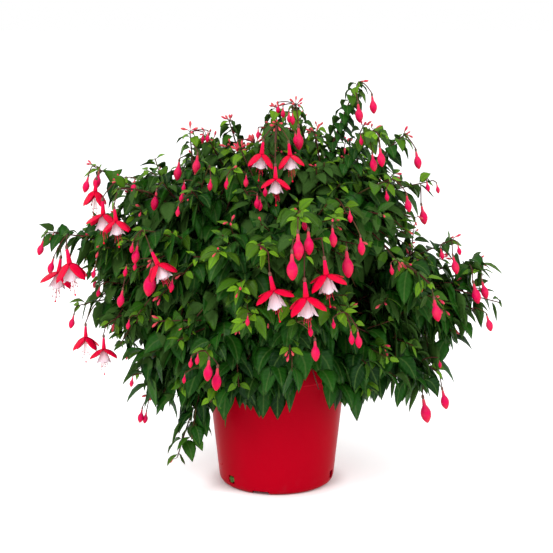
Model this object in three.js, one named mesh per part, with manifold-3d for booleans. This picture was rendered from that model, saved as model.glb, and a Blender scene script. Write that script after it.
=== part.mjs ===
// A small-flowered fuchsia bush in a plain plastic nursery pot, in millimetres, with +Z up.
// The origin is the centre of the pot's underside, and the side seen from the front faces -Y.
// The stems grow from one trunk in the potting soil. Leaves and buds are fused to their stems,
// and each open flower hangs from its own stalk as a red body with a white bell round its style.
import * as THREE from 'three';
import { mergeVertices } from 'three/addons/utils/BufferGeometryUtils.js';
import Module from 'manifold-3d';

const wasm = await Module();
wasm.setup();

// Pot
const POT_HEIGHT = 129;
const POT_RIM_RADIUS = 70;
const POT_BASE_RADIUS = 56.5;
const POT_WALL = 1.8;
const POT_COLLAR_HEIGHT = 18;
const POT_COLLAR_STEP = 1.3;
const POT_EDGE_ROUNDING = 5;
const POT_FLOOR_RAISE = 4.5;
const POT_FOOT_WIDTH = 5;
const POT_PAD_RADIUS = 14;
const POT_SIDES = 24;
const NOTCH = { width: 17, height: 3.6, angle: -16.7, count: 3 };
const SIDE_HOLE = { width: 8.5, height: 8, centre: 10, angle: -50, count: 3 };
const FLOOR_HOLE = { radius: 4, circle: 28, count: 6 };

// Soil and trunk
const SOIL_TOP = 113;
const SOIL_MOUND = 3;
const SOIL_SIDES = 12;
const CLEARANCE = 0.3;
const FUSE_TOLERANCE = 0.08;
const TRUNK_RADIUS = 6.5;
const TRUNK_TOP = 138;
const TRUNK_FOOT = 66;
const LIMB_RADIUS = 3;
const LIMB_SHARE = 0.2;
const SIDE_SHARES = [0.32, 0.47, 0.62];

// Stems, leaves and buds
const BUSH_CENTRE = new THREE.Vector3(0, 0, 190);
const STEM_RADIUS = 1.9;
const SIDE_STEM_RADIUS = 1.3;
const TIP_RADIUS = 0.9;
const LEAF_LENGTH = 42;
const LEAF_WIDTH = 0.4;
const LEAF_THICKNESS = 1.2;
const LEAF_PETIOLE = 0.15;
const SMALL_LEAF = 31;
const LEADER_PAIRS = [1, 4];
const SIDE_PAIRS = [2, 5];
const BUD_LENGTH = 28;
const BUD_RADIUS = 5.8;
const BUD_SPLAY = 0.0014;

// Open flower, along its axis from the top of the red tube
const OVARY_LENGTH = 5;
const TUBE_LENGTH = 13.5;
const SEPAL_LENGTH = 24;
const SEPAL_WIDTH = 12.5;
const BELL_LENGTH = 17.5;
const BELL_RADIUS = 9.4;
const STYLE_LENGTH = 46;

// Each leafy stem: the tip of its leader, then the tips of its side shoots. A fourth number
// lifts the middle of the leader's bow.
const STEMS = {
  left_top: [[-173, -20, 314, -18], [-145, -52, 305], [-118, 20, 317]],
  left_arm: [[-221, -10, 249, -14], [-196, -42, 252]],
  left_shoulder: [[-121, -40, 313], [-76, -102, 302], [-80, -44, 348]],
  crown_left: [[-46, 30, 352], [-40, -100, 321], [-75, 65, 325]],
  crown_middle: [[0, 8, 366], [18, -36, 373], [0, -90, 359]],
  crown_tall: [[78, 0, 392], [40, 34, 345]],
  crown_right: [[88, -66, 352], [106, -68, 308], [61, -120, 285]],
  right_shoulder: [[121, -6, 342], [146, -10, 298]],
  right_arm: [[198, 10, 217, -28], [166, -30, 245], [118, -92, 232]],
  right_far: [[217, -10, 180], [145, -85, 200]],
  right_low: [[156, -30, 116, 12], [160, 30, 118], [128, -62, 150]],
  front_right_low: [[88, -84, 112, 22], [104, -98, 146]],
  front_upper: [[20, -146, 290], [50, -148, 284], [-16, -156, 262], [24, -150, 262]],
  front_left: [[-51, -150, 255], [-32, -160, 224]],
  front_middle: [[18, -165, 196], [-29, -165, 195], [60, -155, 202]],
  left_face: [[-121, -100, 266], [-136, -84, 226], [-129, -80, 182]],
  front_low: [[-64, -140, 164], [-89, -118, 168], [-34, -120, 126]],
  trailing: [[-94, -70, 43, 108]],
  left_low: [[-122, -20, 92, 30], [-140, 30, 102]],
  left_far: [[-191, -24, 180], [-160, -50, 168], [-158, 48, 190]],
  back_left: [[-140, 95, 285], [-150, 92, 205], [-95, 140, 240]],
  back_middle: [[-40, 165, 255], [-60, 112, 315], [-30, 172, 185]],
  back_right: [[85, 140, 270], [30, 165, 228], [70, 92, 325]],
  back_right_low: [[130, 112, 190], [150, 92, 150], [52, 160, 165]],
  back_low: [[-98, 138, 150], [-18, 148, 128]],
};

// Each open flower: the top of its red tube, the lean of its axis from straight down, its size,
// the spread of its sepals in degrees, and whether its white bell shows.
const BLOOMS = {
  crown_centre: { top: [-1, -120, 325], lean: [0.02, -0.08], size: 0.75, spread: 55, bell: true },
  crown_left: { top: [-12, -94, 344], lean: [-0.12, -0.05], size: 0.76, spread: 43, bell: true },
  crown_right: { top: [11, -98, 343], lean: [0.1, -0.1], size: 0.74, spread: 45, bell: true },
  front_left: { top: [-5, -176, 238], lean: [0.2, 0.05], size: 0.9, spread: 68, bell: true },
  front_centre: { top: [24, -182, 234], lean: [0.09, -0.02], size: 0.95, spread: 52, bell: true },
  front_right: { top: [41, -172, 251], lean: [0.13, 0], size: 0.9, spread: 56, bell: true },
  side_facing: { top: [-110, -122, 249], lean: [0.5, -0.3], size: 0.85, spread: 50, bell: true },
  left_upper: { top: [-168, -42, 303], lean: [-0.1, -0.1], size: 0.75, spread: 40, bell: false },
  left_second: { top: [-160, -62, 286], lean: [0.02, -0.1], size: 0.85, spread: 55, bell: true },
  left_third: { top: [-146, -92, 283], lean: [0.12, -0.15], size: 0.75, spread: 50, bell: true },
  arm_outer: { top: [-206, -24, 225], lean: [-0.14, -0.1], size: 0.9, spread: 52, bell: true },
  arm_inner: { top: [-194, -62, 241], lean: [0.16, -0.05], size: 0.95, spread: 42, bell: true },
  left_lower: { top: [-181, -44, 164], lean: [0, -0.1], size: 0.75, spread: 45, bell: false },
  left_lowest: { top: [-162, -62, 157], lean: [0.02, -0.2], size: 0.75, spread: 58, bell: true },
  back_upper: { top: [-60, 136, 290], lean: [-0.05, 0.12], size: 0.95, spread: 52, bell: true },
  back_centre: { top: [38, 178, 215], lean: [0.05, 0.1], size: 1, spread: 55, bell: true },
  back_side: { top: [102, 150, 248], lean: [0.12, 0.1], size: 0.9, spread: 48, bell: true },
};

// Each closed bud: the top of its tube, and its size
const BUDS = [
  [18, -176, 279, 0.95], [27, -166, 279, 0.85], [13, -183, 263, 0.95], [61, -134, 257, 1],
  [48, -152, 279, 0.7], [73, -138, 268, 0.65], [20, -56, 357, 0.85], [89, -22, 383, 0.7],
  [76, -22, 376, 0.75], [92, -92, 342, 0.72], [86, -84, 335, 0.65], [131, -20, 331, 0.72],
  [-72, -62, 332, 0.72], [-90, -44, 324, 0.74], [-175, -40, 309, 0.64], [-166, -28, 313, 0.72],
  [-110, -62, 298, 0.72], [136, -32, 281, 0.76], [119, -66, 295, 0.65], [165, -46, 235, 0.72],
  [187, -28, 206, 0.85], [197, -16, 205, 0.74], [142, -102, 206, 0.85], [200, -34, 175, 0.66],
  [139, -50, 99, 1], [158, -44, 105, 0.8], [-222, -20, 245, 0.62], [-209, -44, 232, 0.62],
  [-125, -96, 254, 0.7], [-111, -105, 237, 1.1], [-139, -98, 213, 0.66], [70, -166, 190, 0.6],
  [33, -172, 184, 0.74], [-59, -152, 162, 0.78], [-52, -140, 152, 0.85], [-50, 124, 300, 0.8],
  [-126, 108, 270, 0.9], [22, 178, 216, 0.8], [140, 124, 178, 0.9], [-92, 154, 226, 0.9],
  [-108, 146, 138, 0.8],
];

const COLOURS = {
  pot: 0xb3001c,
  soil: 0x3a2c22,
  bark: 0x5a4234,
  foliage: 0x2c5f2a,
  red: 0xe5002e,
  white: 0xf2dbe4,
};

const UP = new THREE.Vector3(0, 0, 1);
const vec = (point) => new THREE.Vector3(point[0], point[1], point[2]);
const mix = (a, b, share) => a.clone().lerp(b, share);
const step = (from, along, distance) => from.clone().addScaledVector(along, distance);

// A repeatable run of numbers from 0 to 1
function draws(seed) {
  let state = seed;
  return () => {
    state = (state * 48271) % 2147483647;
    return state / 2147483647;
  };
}

// Solids
function solidOf(points, faces) {
  const vertProperties = new Float32Array(points.flatMap((p) => [p.x, p.y, p.z]));
  const triVerts = new Uint32Array(faces.flat());
  return new wasm.Manifold(new wasm.Mesh({ numProp: 3, vertProperties, triVerts }));
}

function solidOfGeometry(geometry) {
  const bare = geometry.index ? geometry : geometry.clone();
  bare.deleteAttribute('normal');
  bare.deleteAttribute('uv');
  const merged = mergeVertices(bare, 1e-4);
  const position = merged.getAttribute('position');
  const pointAt = (_, i) => new THREE.Vector3().fromBufferAttribute(position, i);
  const points = Array.from({ length: position.count }, pointAt);
  const index = Array.from(merged.index.array);
  const faces = [];
  for (let i = 0; i < index.length; i += 3) {
    const face = index.slice(i, i + 3);
    if (new Set(face).size === 3) faces.push(face);
  }
  return solidOf(points, faces);
}

// Joins solids and keeps the one body that holds together
function fused(solids) {
  const bodies = solids.reduce((sum, solid) => sum.add(solid)).simplify(FUSE_TOLERANCE).decompose();
  return bodies.reduce((best, body) => (body.volume() > best.volume() ? body : best));
}

function meshOf(name, solid, colour, roughness) {
  const { vertProperties, triVerts } = solid.getMesh();
  const geometry = new THREE.BufferGeometry();
  geometry.setAttribute('position', new THREE.BufferAttribute(Float32Array.from(vertProperties), 3));
  geometry.setIndex(Array.from(triVerts));
  geometry.computeVertexNormals();
  const material = new THREE.MeshStandardMaterial({ color: colour, roughness, metalness: 0 });
  const mesh = new THREE.Mesh(geometry, material);
  mesh.name = name;
  return mesh;
}

// A closed body through a row of centres, with a radius at each and flat ends
function limb(centres, radii, sides) {
  const points = [];
  const faces = [];
  let across = null;
  centres.forEach((centre, k) => {
    const before = centres[Math.max(k - 1, 0)];
    const after = centres[Math.min(k + 1, centres.length - 1)];
    const along = after.clone().sub(before).normalize();
    across ??= Math.abs(along.z) < 0.9 ? UP.clone().cross(along) : new THREE.Vector3(1, 0, 0);
    across = step(across, along, -across.dot(along)).normalize();
    const other = along.clone().cross(across);
    for (let i = 0; i < sides; i += 1) {
      points.push(step(centre, turnedFrom(across, other, (i / sides) * 2 * Math.PI), radii[k]));
    }
  });
  for (let k = 0; k + 1 < centres.length; k += 1) {
    faces.push(...band(k * sides, (k + 1) * sides, sides).flat());
  }
  faces.push(...caps(0, (centres.length - 1) * sides, sides));
  return solidOf(points, faces);
}

function turnedFrom(across, other, turn) {
  return across.clone().multiplyScalar(Math.cos(turn)).addScaledVector(other, Math.sin(turn));
}

// The faces between two rings of the same number of points, two for each side
function band(low, high, sides) {
  return Array.from({ length: sides }, (_, i) => {
    const next = (i + 1) % sides;
    return [[low + i, low + next, high + next], [low + i, high + next, high + i]];
  });
}

function caps(first, last, sides) {
  const faces = [];
  for (let i = 1; i + 1 < sides; i += 1) {
    faces.push([first, first + i + 1, first + i], [last, last + i, last + i + 1]);
  }
  return faces;
}

// A bowed line: start, a control point and an end. It lies in one plane, so its frame never twists.
function bow(start, control, end) {
  const at = (t) => mix(mix(start, control, t), mix(control, end, t), t);
  const slope = (t) => mix(control.clone().sub(start), end.clone().sub(control), t).multiplyScalar(2);
  const along = (t) => slope(t).normalize();
  let length = 0;
  for (let i = 0; i < 16; i += 1) {
    length += at(i / 16).distanceTo(at((i + 1) / 16));
  }
  const across = control.clone().sub(start).cross(end.clone().sub(control));
  if (across.length() < 1) across.crossVectors(UP, along(0));
  across.normalize();
  const frame = (t) => ({ across, other: along(t).cross(across) });
  return { at, slope, along, length, frame };
}

// Pot: a turned wall with a collar, a rounded foot, and a floor that is raised between the foot
// ring and a flat pad at its middle, then its drain openings
function potProfile() {
  const collarBase = POT_HEIGHT - POT_COLLAR_HEIGHT;
  const collarRadius = POT_RIM_RADIUS - 0.6;
  const wallTop = collarRadius - POT_COLLAR_STEP;
  const foot = POT_BASE_RADIUS - POT_EDGE_ROUNDING;
  const floor = POT_FLOOR_RAISE + POT_WALL;
  const rows = [
    [0, 0],
    [POT_PAD_RADIUS, 0],
    [POT_PAD_RADIUS + 1.5, POT_FLOOR_RAISE],
    [foot - POT_FOOT_WIDTH - 1.5, POT_FLOOR_RAISE],
    [foot - POT_FOOT_WIDTH, 0],
    [foot, 0],
    [POT_BASE_RADIUS - 0.3 * POT_EDGE_ROUNDING, 0.3 * POT_EDGE_ROUNDING],
    [POT_BASE_RADIUS + 0.3, POT_EDGE_ROUNDING + 1],
    [wallTop, collarBase - 0.6],
    [collarRadius, collarBase + 0.6],
    [POT_RIM_RADIUS, POT_HEIGHT - 1],
    [POT_RIM_RADIUS - 0.7, POT_HEIGHT],
    [POT_RIM_RADIUS - POT_WALL, POT_HEIGHT - 0.6],
    [wallTop - POT_WALL, collarBase - 4],
    [POT_BASE_RADIUS + 0.3 - POT_WALL, floor],
    [POT_PAD_RADIUS, floor],
    [POT_PAD_RADIUS - 1.5, POT_WALL],
    [0, POT_WALL],
  ];
  return rows.map(([r, z]) => new THREE.Vector2(r, z));
}

// The inside of the wall runs straight from the floor to just under the collar
function innerRadius(z) {
  const low = POT_BASE_RADIUS + 0.3 - POT_WALL;
  const high = POT_RIM_RADIUS - 0.6 - POT_COLLAR_STEP - POT_WALL;
  const floor = POT_FLOOR_RAISE + POT_WALL;
  return low + ((high - low) * (z - floor)) / (POT_HEIGHT - POT_COLLAR_HEIGHT - 4 - floor);
}

function turned(profile, sides) {
  return solidOfGeometry(new THREE.LatheGeometry(profile, sides).rotateX(Math.PI / 2));
}

function around(count, firstDegrees, make) {
  return Array.from({ length: count }, (_, i) => {
    const turn = THREE.MathUtils.degToRad(firstDegrees + (360 * i) / count);
    return make(turn);
  });
}

function drainOpenings() {
  const notches = around(NOTCH.count, NOTCH.angle, (turn) => {
    const box = new THREE.BoxGeometry(NOTCH.width, 22, NOTCH.height * 2);
    return solidOfGeometry(box.translate(0, -POT_BASE_RADIUS + 4, 0).rotateZ(turn));
  });
  const sideHoles = around(SIDE_HOLE.count, SIDE_HOLE.angle, (turn) => {
    const box = new THREE.BoxGeometry(SIDE_HOLE.width, 12, SIDE_HOLE.height);
    return solidOfGeometry(box.translate(0, -POT_BASE_RADIUS, SIDE_HOLE.centre).rotateZ(turn));
  });
  const floorHoles = around(FLOOR_HOLE.count, 0, (turn) => {
    const drill = new THREE.CylinderGeometry(FLOOR_HOLE.radius, FLOOR_HOLE.radius, 20, 8);
    return solidOfGeometry(drill.rotateX(Math.PI / 2).translate(0, FLOOR_HOLE.circle, 5).rotateZ(turn));
  });
  return [...notches, ...sideHoles, ...floorHoles];
}

function pot() {
  const wall = turned(potProfile(), POT_SIDES);
  return drainOpenings().reduce((body, opening) => body.subtract(opening), wall);
}

// Potting soil: fills the pot, lies a little uneven on top, and has a plain hole for the trunk
function soil() {
  const floor = POT_FLOOR_RAISE + POT_WALL + CLEARANCE;
  const edge = (z) => innerRadius(z) * Math.cos(Math.PI / POT_SIDES) - CLEARANCE;
  const pad = POT_PAD_RADIUS - 1.5 - CLEARANCE;
  const profile = [
    [0, POT_WALL + CLEARANCE],
    [pad * Math.cos(Math.PI / POT_SIDES), POT_WALL + CLEARANCE],
    [pad, floor],
    [edge(floor), floor],
    [edge(SOIL_TOP - 4), SOIL_TOP - 4],
    [edge(SOIL_TOP) - 4, SOIL_TOP],
    [30, SOIL_TOP + SOIL_MOUND - 1],
    [0, SOIL_TOP + SOIL_MOUND],
  ].map(([r, z]) => new THREE.Vector2(r, z));
  const hole = new THREE.CylinderGeometry(TRUNK_RADIUS + CLEARANCE, TRUNK_RADIUS + CLEARANCE, 80, 12)
    .rotateX(Math.PI / 2)
    .translate(0, 0, TRUNK_FOOT - CLEARANCE + 40);
  return turned(profile, SOIL_SIDES).subtract(solidOfGeometry(hole));
}

// Leaves stand in opposite pairs, each pair turned a quarter from the one before, and grow
// larger down the shoot until they reach full size
const pairDistance = (j) => 3 + 5.5 * j + 0.9 * j * j;
const leafLength = (j) => Math.min(LEAF_LENGTH, 12 + 5.6 * j);

// Stems: a leader bows from the trunk to its tip, and side shoots leave it on the way
function leaderLine([x, y, z, lift = 0]) {
  const reach = Math.hypot(x, y);
  const rise = TRUNK_TOP - 4 - 0.05 * Math.abs(z - 150);
  const start = new THREE.Vector3((3 * x) / reach, (3 * y) / reach, rise);
  const bulge = start.z + 0.62 * (z - start.z) + 0.24 * reach + lift;
  return bow(start, new THREE.Vector3(0.46 * x, 0.46 * y, bulge), new THREE.Vector3(x, y, z));
}

function sideLine(leader, tip, order) {
  const leave = SIDE_SHARES[order];
  const start = leader.at(leave);
  const end = vec(tip);
  const reach = start.distanceTo(end);
  const control = step(start, leader.along(leave), 0.4 * reach);
  control.z += 0.12 * reach;
  return bow(start, control, end);
}

const leafyStems = Object.entries(STEMS).map(([name, tips], index) => {
  const leader = leaderLine(tips[0]);
  const shoots = tips.map((tip, order) => {
    const isLeader = order === 0;
    const line = isLeader ? leader : sideLine(leader, tip, order - 1);
    const from = isLeader ? LIMB_SHARE + CLEARANCE / leader.slope(LIMB_SHARE).length() : 0;
    const base = isLeader ? STEM_RADIUS : SIDE_STEM_RADIUS;
    const joints = jointsOf(line, isLeader ? LEADER_PAIRS : SIDE_PAIRS);
    const forks = isLeader ? SIDE_SHARES.slice(0, Math.max(tips.length - 1, 2)) : [];
    const openings = joints.flatMap(({ t, half }) => [t - half, t + half]);
    const places = [from, ...forks, ...openings].sort((a, b) => a - b);
    return { line, from, base, joints, places, seed: 1000 + 10 * index + order };
  });
  return { name: `leafy_stem_${name}`, leader, shoots, pieces: [] };
});

// The rings of a four-sided stem along its line, and the stem as a solid
function stemRings(line, places, radii, phase) {
  return places.flatMap((t, k) => {
    const { across, other } = line.frame(t);
    const corner = (i) => turnedFrom(across, other, phase + (i - 0.5) * 0.5 * Math.PI);
    return [0, 1, 2, 3].map((i) => step(line.at(t), corner(i), radii[k]));
  });
}

function stemSolid(line, places, radii) {
  const faces = caps(0, 4 * (places.length - 1), 4);
  places.slice(1).forEach((_, k) => faces.push(...band(4 * k, 4 * k + 4, 4).flat()));
  return solidOf(stemRings(line, places, radii, 0), faces);
}

// The faces from a stem's last ring to its pointed end
function pointed(last, tip) {
  return [0, 1, 2, 3].map((i) => [last + i, last + ((i + 1) % 4), tip]);
}

// Where a shoot's pairs of leaves stand: the place on its line, and half the length of the joint
function jointsOf(line, pairs) {
  return pairs.map((j) => ({ j, t: 1 - pairDistance(j) / line.length, half: 0.7 / line.length })).reverse();
}

function stemRadius({ base, from }, t) {
  return base + ((TIP_RADIUS - base) * (t - from)) / (1 - from);
}

// Trunk: a short woody stock whose limbs carry the leafy stems
function trunk() {
  const stock = limb(
    [TRUNK_FOOT, SOIL_TOP, TRUNK_TOP].map((z) => new THREE.Vector3(0, 0, z)),
    [0.8, 0.95, 0.9].map((share) => share * TRUNK_RADIUS),
    8,
  );
  const limbs = leafyStems.map(({ leader }) => (
    stemSolid(leader, [0, LIMB_SHARE], [LIMB_RADIUS, STEM_RADIUS + 0.2])
  ));
  return fused([stock, ...limbs]);
}

// A leaf's cross-sections of left edge, upper rib, right edge and lower rib, then its tip
function leafForm({ root, radial, along, length, droop, twist }) {
  const outward = root.clone().sub(BUSH_CENTRE).normalize();
  const out = step(step(radial.clone().multiplyScalar(0.9), along, 0.3), UP, 0.1).normalize();
  const hang = step(step(out.clone().multiplyScalar(1 - droop), UP, -droop), outward, 0.2);
  const bend = step(root, out, 0.45 * length);
  const tip = step(bend, hang.normalize(), 0.55 * length);
  const rib = bow(root, bend, tip);
  const face = outward.clone().multiplyScalar(0.6).addScaledVector(UP, 0.5);
  const run = tip.clone().sub(root).normalize();
  const side = face.cross(run).normalize().applyAxisAngle(run, twist);
  const half = 0.5 * LEAF_WIDTH * length;
  const thick = 0.5 * LEAF_THICKNESS;
  const petiole = [LEAF_PETIOLE, 0.6, thick, 0];
  const small = [petiole, [0.48, half, thick, 0.25]];
  const large = [petiole, [0.4, half, thick, 0.22], [0.73, 0.72 * half, thick, 0.3]];
  const rows = length < SMALL_LEAF ? small : large;
  const sections = rows.map(([t, width, depth, fold]) => {
    const centre = rib.at(t);
    const normal = rib.along(t).cross(side).normalize();
    return [
      step(step(centre, side, -width), normal, fold * width),
      step(centre, normal, depth),
      step(step(centre, side, width), normal, fold * width),
      step(centre, normal, -depth),
    ];
  });
  return { sections, tip };
}

// Faces of a blade between two cross-sections. The upper and the lower face are split along
// the same lines, so that they never cross.
function bladeFaces([left, top, right, bottom], [farLeft, farTop, farRight, farBottom]) {
  return [
    [left, bottom, farBottom], [left, farBottom, farLeft],
    [bottom, right, farBottom], [right, farRight, farBottom],
    [right, top, farTop], [right, farTop, farRight],
    [top, left, farTop], [left, farLeft, farTop],
  ];
}

function bladeBetween(rings, tip) {
  const faces = rings.slice(1).flatMap((ring, k) => bladeFaces(rings[k], ring));
  const [left, top, right, bottom] = rings.at(-1);
  return [...faces, [left, bottom, tip], [bottom, right, tip], [right, top, tip], [top, left, tip]];
}

// The blade alone, without the stretch that joins it to its stem
function bladeSolid(form) {
  const points = [...form.sections.flat(), form.tip];
  const rings = form.sections.map((_, k) => [0, 1, 2, 3].map((i) => 4 * k + i));
  const [left, top, right, bottom] = rings[0];
  const faces = [[left, top, right], [left, right, bottom], ...bladeBetween(rings, points.length - 1)];
  return solidOf(points, faces);
}

// One shoot as a single skin: a four-sided stem whose sides open into pairs of leaves
function shootSolid(shoot, leaves) {
  const { line, joints, places, phase } = shoot;
  const points = stemRings(line, places, places.map((t) => stemRadius(shoot, t)), phase);
  const faces = [[0, 2, 1], [0, 3, 2], ...pointed(points.length - 4, points.length)];
  points.push(line.at(1));
  for (let k = 0; k + 1 < places.length; k += 1) {
    const joint = joints.find(({ t }) => places[k] < t && t < places[k + 1]);
    band(4 * k, 4 * k + 4, 4).forEach((pair, i) => {
      const form = joint && leaves.get(`${joint.j} ${i}`);
      const [near, next] = [4 * k + i, 4 * k + ((i + 1) % 4)];
      faces.push(...(form ? leafFaces(points, [near, next, next + 4, near + 4], form) : pair));
    });
  }
  return solidOf(points, faces);
}

// Adds a leaf's points, and joins it to the four corners where its stem opens
function leafFaces(points, corners, form) {
  const add = (point) => points.push(point) - 1;
  const rings = form.sections.slice(1).map((section) => section.map(add));
  const tip = add(form.tip);
  const [left, top, right, bottom] = form.sections[1];
  const middle = mix(left, right, 0.5);
  const centre = mix(points[corners[0]], points[corners[2]], 0.5);
  const aims = [left, bottom, right, top].map((point) => point.clone().sub(middle).normalize());
  const offset = (corner) => points[corner].clone().sub(centre);
  const turned = (shift) => corners.map((_, k) => corners[(k + shift) % 4]);
  const fit = (order) => order.reduce((sum, corner, k) => sum + aims[k].dot(offset(corner)), 0);
  const orders = [0, 1, 2, 3].map(turned);
  const best = orders.reduce((first, order) => (fit(order) > fit(first) ? order : first));
  const [rootLeft, rootBottom, rootRight, rootTop] = best;
  return bladeBetween([[rootLeft, rootTop, rootRight, rootBottom], ...rings], tip);
}

// Every piece already in place, so that what grows later keeps clear of it
const placed = [];
function settle(solid, node) {
  placed.push({ solid, node, box: solid.boundingBox() });
  return solid;
}

function isClear(solid, exceptNode = null) {
  const box = solid.boundingBox();
  const isNear = ({ min, max }) => (
    [0, 1, 2].every((k) => box.min[k] < max[k] + 1 && min[k] < box.max[k] + 1)
  );
  return placed.every((piece) => (
    piece.node === exceptNode || !isNear(piece.box) || piece.solid.minGap(solid, 1) > 0.9 * CLEARANCE
  ));
}

// Open flowers
function bloomFrame({ top, lean, size }) {
  const axis = new THREE.Vector3(lean[0], lean[1], -1).normalize();
  const across = new THREE.Vector3(1, 0, 0).addScaledVector(axis, -axis.x).normalize();
  const other = axis.clone().cross(across);
  const origin = vec(top);
  const at = (radius, turn, height) => (
    step(step(origin, axis, height * size), turnedFrom(across, other, turn), radius * size)
  );
  return { axis, at, size };
}

// The red tube opens into four pointed sepals, one from every second side of its mouth
function tubeWithSepals({ at }, spread, draw) {
  const sides = 8;
  const rings = [[-OVARY_LENGTH, 0.7], [-2.4, 1.8], [TUBE_LENGTH - 2, 2.9], [TUBE_LENGTH, 2.4]];
  const points = rings.flatMap(([height, radius]) => (
    Array.from({ length: sides }, (_, i) => at(radius, ((i + 0.5) / sides) * 2 * Math.PI, height))
  ));
  const [above, below] = [2 * sides, 3 * sides];
  const faces = [0, 1].flatMap((k) => band(k * sides, (k + 1) * sides, sides).flat());
  faces.push(...caps(0, below, sides));
  for (let i = 0; i < sides; i += 2) {
    const next = i + 1;
    const turn = ((i + 1) / sides) * 2 * Math.PI + 0.1 * (draw() - 0.5);
    const lean = THREE.MathUtils.degToRad(spread) + 0.2 * (draw() - 0.5);
    const add = (point) => points.push(point) - 1;
    const [left, top, right, under, tip] = sepalPoints(at, turn, lean).map(add);
    const [a, b, c, d] = [above + i, above + next, below + i, below + next];
    faces.push([a, top, left], [a, b, top], [b, right, top], [left, top, tip], [top, right, tip]);
    faces.push([c, left, under], [c, under, d], [d, under, right], [left, tip, under], [under, tip, right]);
    faces.push([a, left, c], [b, d, right]);
    faces.push(...band(above, below, sides)[next]);
  }
  return solidOf(points, faces);
}

function sepalPoints(at, turn, spread) {
  const radius = 2 + 0.48 * SEPAL_LENGTH * Math.sin(spread);
  const height = TUBE_LENGTH - 1 + 0.48 * SEPAL_LENGTH * Math.cos(spread);
  const swing = Math.atan2(SEPAL_WIDTH / 2, radius);
  const far = Math.hypot(SEPAL_WIDTH / 2, radius);
  const tipRadius = 2 + SEPAL_LENGTH * Math.sin(spread + 0.1);
  const tipHeight = TUBE_LENGTH - 1 + SEPAL_LENGTH * Math.cos(spread + 0.1);
  return [
    at(far, turn - swing, height + 0.6),
    at(radius + 0.7 * Math.cos(spread), turn, height - 0.7 * Math.sin(spread)),
    at(far, turn + swing, height + 0.6),
    at(radius - 0.5 * Math.cos(spread), turn, height + 0.5 * Math.sin(spread)),
    at(tipRadius, turn, tipHeight),
  ];
}

function redBody(frame, spread, seed) {
  const { at, size } = frame;
  const draw = draws(seed);
  const flower = tubeWithSepals(frame, spread, draw);
  const rings = [[12, 0.55], [STYLE_LENGTH - 3, 0.5], [STYLE_LENGTH - 1.4, 1.2], [STYLE_LENGTH, 0.6]];
  const centres = rings.map(([height]) => at(0, 0, height));
  const style = limb(centres, rings.map(([, radius]) => radius * size), 3);
  const stamens = [0, 1].map((i) => {
    const turn = 3 * i + draw();
    return limb([at(0, 0, TUBE_LENGTH + 4), at(3.4, turn, 38 + 5 * draw())], [0.4, 0.6], 3);
  });
  return fused([flower, style, ...stamens]);
}

// The white bell: four petals overlap round the style, so its lip waves out and in
function bellBody({ at }, seed) {
  const draw = draws(seed);
  const count = 8;
  const top = TUBE_LENGTH + 0.7;
  const rows = [[2.4, 0], [7.4, 0.5], [BELL_RADIUS, 1], [1.3, 0.06]];
  const points = [];
  for (let i = 0; i < count; i += 1) {
    const isLobe = i % 2 === 0;
    const reach = BELL_LENGTH * (isLobe ? 1 : 0.9) * (0.96 + 0.08 * draw());
    const wave = (share) => (isLobe || share < 0.4 ? 1 : 0.86);
    rows.forEach(([radius, share]) => {
      points.push(at(radius * wave(share), (i / count) * 2 * Math.PI, top + share * reach));
    });
  }
  const faces = [];
  for (let i = 0; i < count; i += 1) {
    const here = i * rows.length;
    const next = ((i + 1) % count) * rows.length;
    for (let k = 0; k < rows.length; k += 1) {
      const down = (k + 1) % rows.length;
      const [a, b, c, d] = [here + k, next + k, here + down, next + down];
      faces.push(...(k < 2 ? [[a, b, d], [a, d, c]] : [[a, b, c], [b, d, c]]));
    }
  }
  return solidOf(points, faces);
}

const potSolid = settle(pot(), 'pot');
const soilSolid = settle(soil(), 'potting_soil');
const trunkSolid = settle(trunk(), 'trunk');

const blooms = Object.entries(BLOOMS).map(([name, spec], index) => {
  const frame = bloomFrame(spec);
  const red = settle(redBody(frame, spec.spread, 500 + index), `bloom_${name}_red`);
  const white = spec.bell ? settle(bellBody(frame, 700 + index), `bloom_${name}_white`) : null;
  return { name, frame, red, white };
});

// Stalks: each flower or bud hangs from the nearest shoot that passes above it
function carrier(top) {
  let best = null;
  for (const stem of leafyStems) {
    for (const { line, places } of stem.shoots) {
      const centres = [...places, 1].map(line.at);
      const middles = centres.slice(1).map((point, k) => mix(point, centres[k], 0.6));
      for (const point of [...centres.slice(1, -1), ...middles]) {
        const away = point.distanceTo(top) + (point.z < top.z + 4 ? 60 : 0);
        if (!best || away < best.away) best = { away, point, stem };
      }
    }
  }
  return best;
}

for (const stem of leafyStems) {
  for (const shoot of stem.shoots) {
    const places = [...shoot.places, 1];
    settle(stemSolid(shoot.line, places, places.map((t) => stemRadius(shoot, t))), stem.name);
  }
}

function hangBloom({ frame }) {
  const end = frame.at(0, 0, -OVARY_LENGTH - CLEARANCE / frame.size);
  const { point, stem } = carrier(end);
  const straight = step(end, frame.axis, -1.5);
  const line = bow(point, step(straight, frame.axis, -0.5 * point.distanceTo(end)), straight);
  const stalk = limb([point, line.at(0.5), straight, end], [0.7, 0.6, 0.6, 0.65], 3);
  stem.pieces.push(settle(stalk, stem.name));
}

function hangBud([x, y, z, size]) {
  const top = new THREE.Vector3(x, y, z);
  const { point, stem } = carrier(top);
  const axis = new THREE.Vector3(BUD_SPLAY * x, BUD_SPLAY * y, -1).normalize();
  const along = [0, 0.38, 0.68, 1].map((share) => step(top, axis, share * BUD_LENGTH * size));
  const radii = [0.9, 2 * size, BUD_RADIUS * size, 0.6];
  const [rings, widths] = size > 0.97 ? [along, radii] : [along.toSpliced(1, 1), radii.toSpliced(1, 1)];
  const body = limb([point, ...rings], [0.6, ...widths], 4);
  const isFree = isClear(body, stem.name) && isClear(limb(rings, widths, 4));
  if (isFree) stem.pieces.push(settle(body, stem.name));
}

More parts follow.
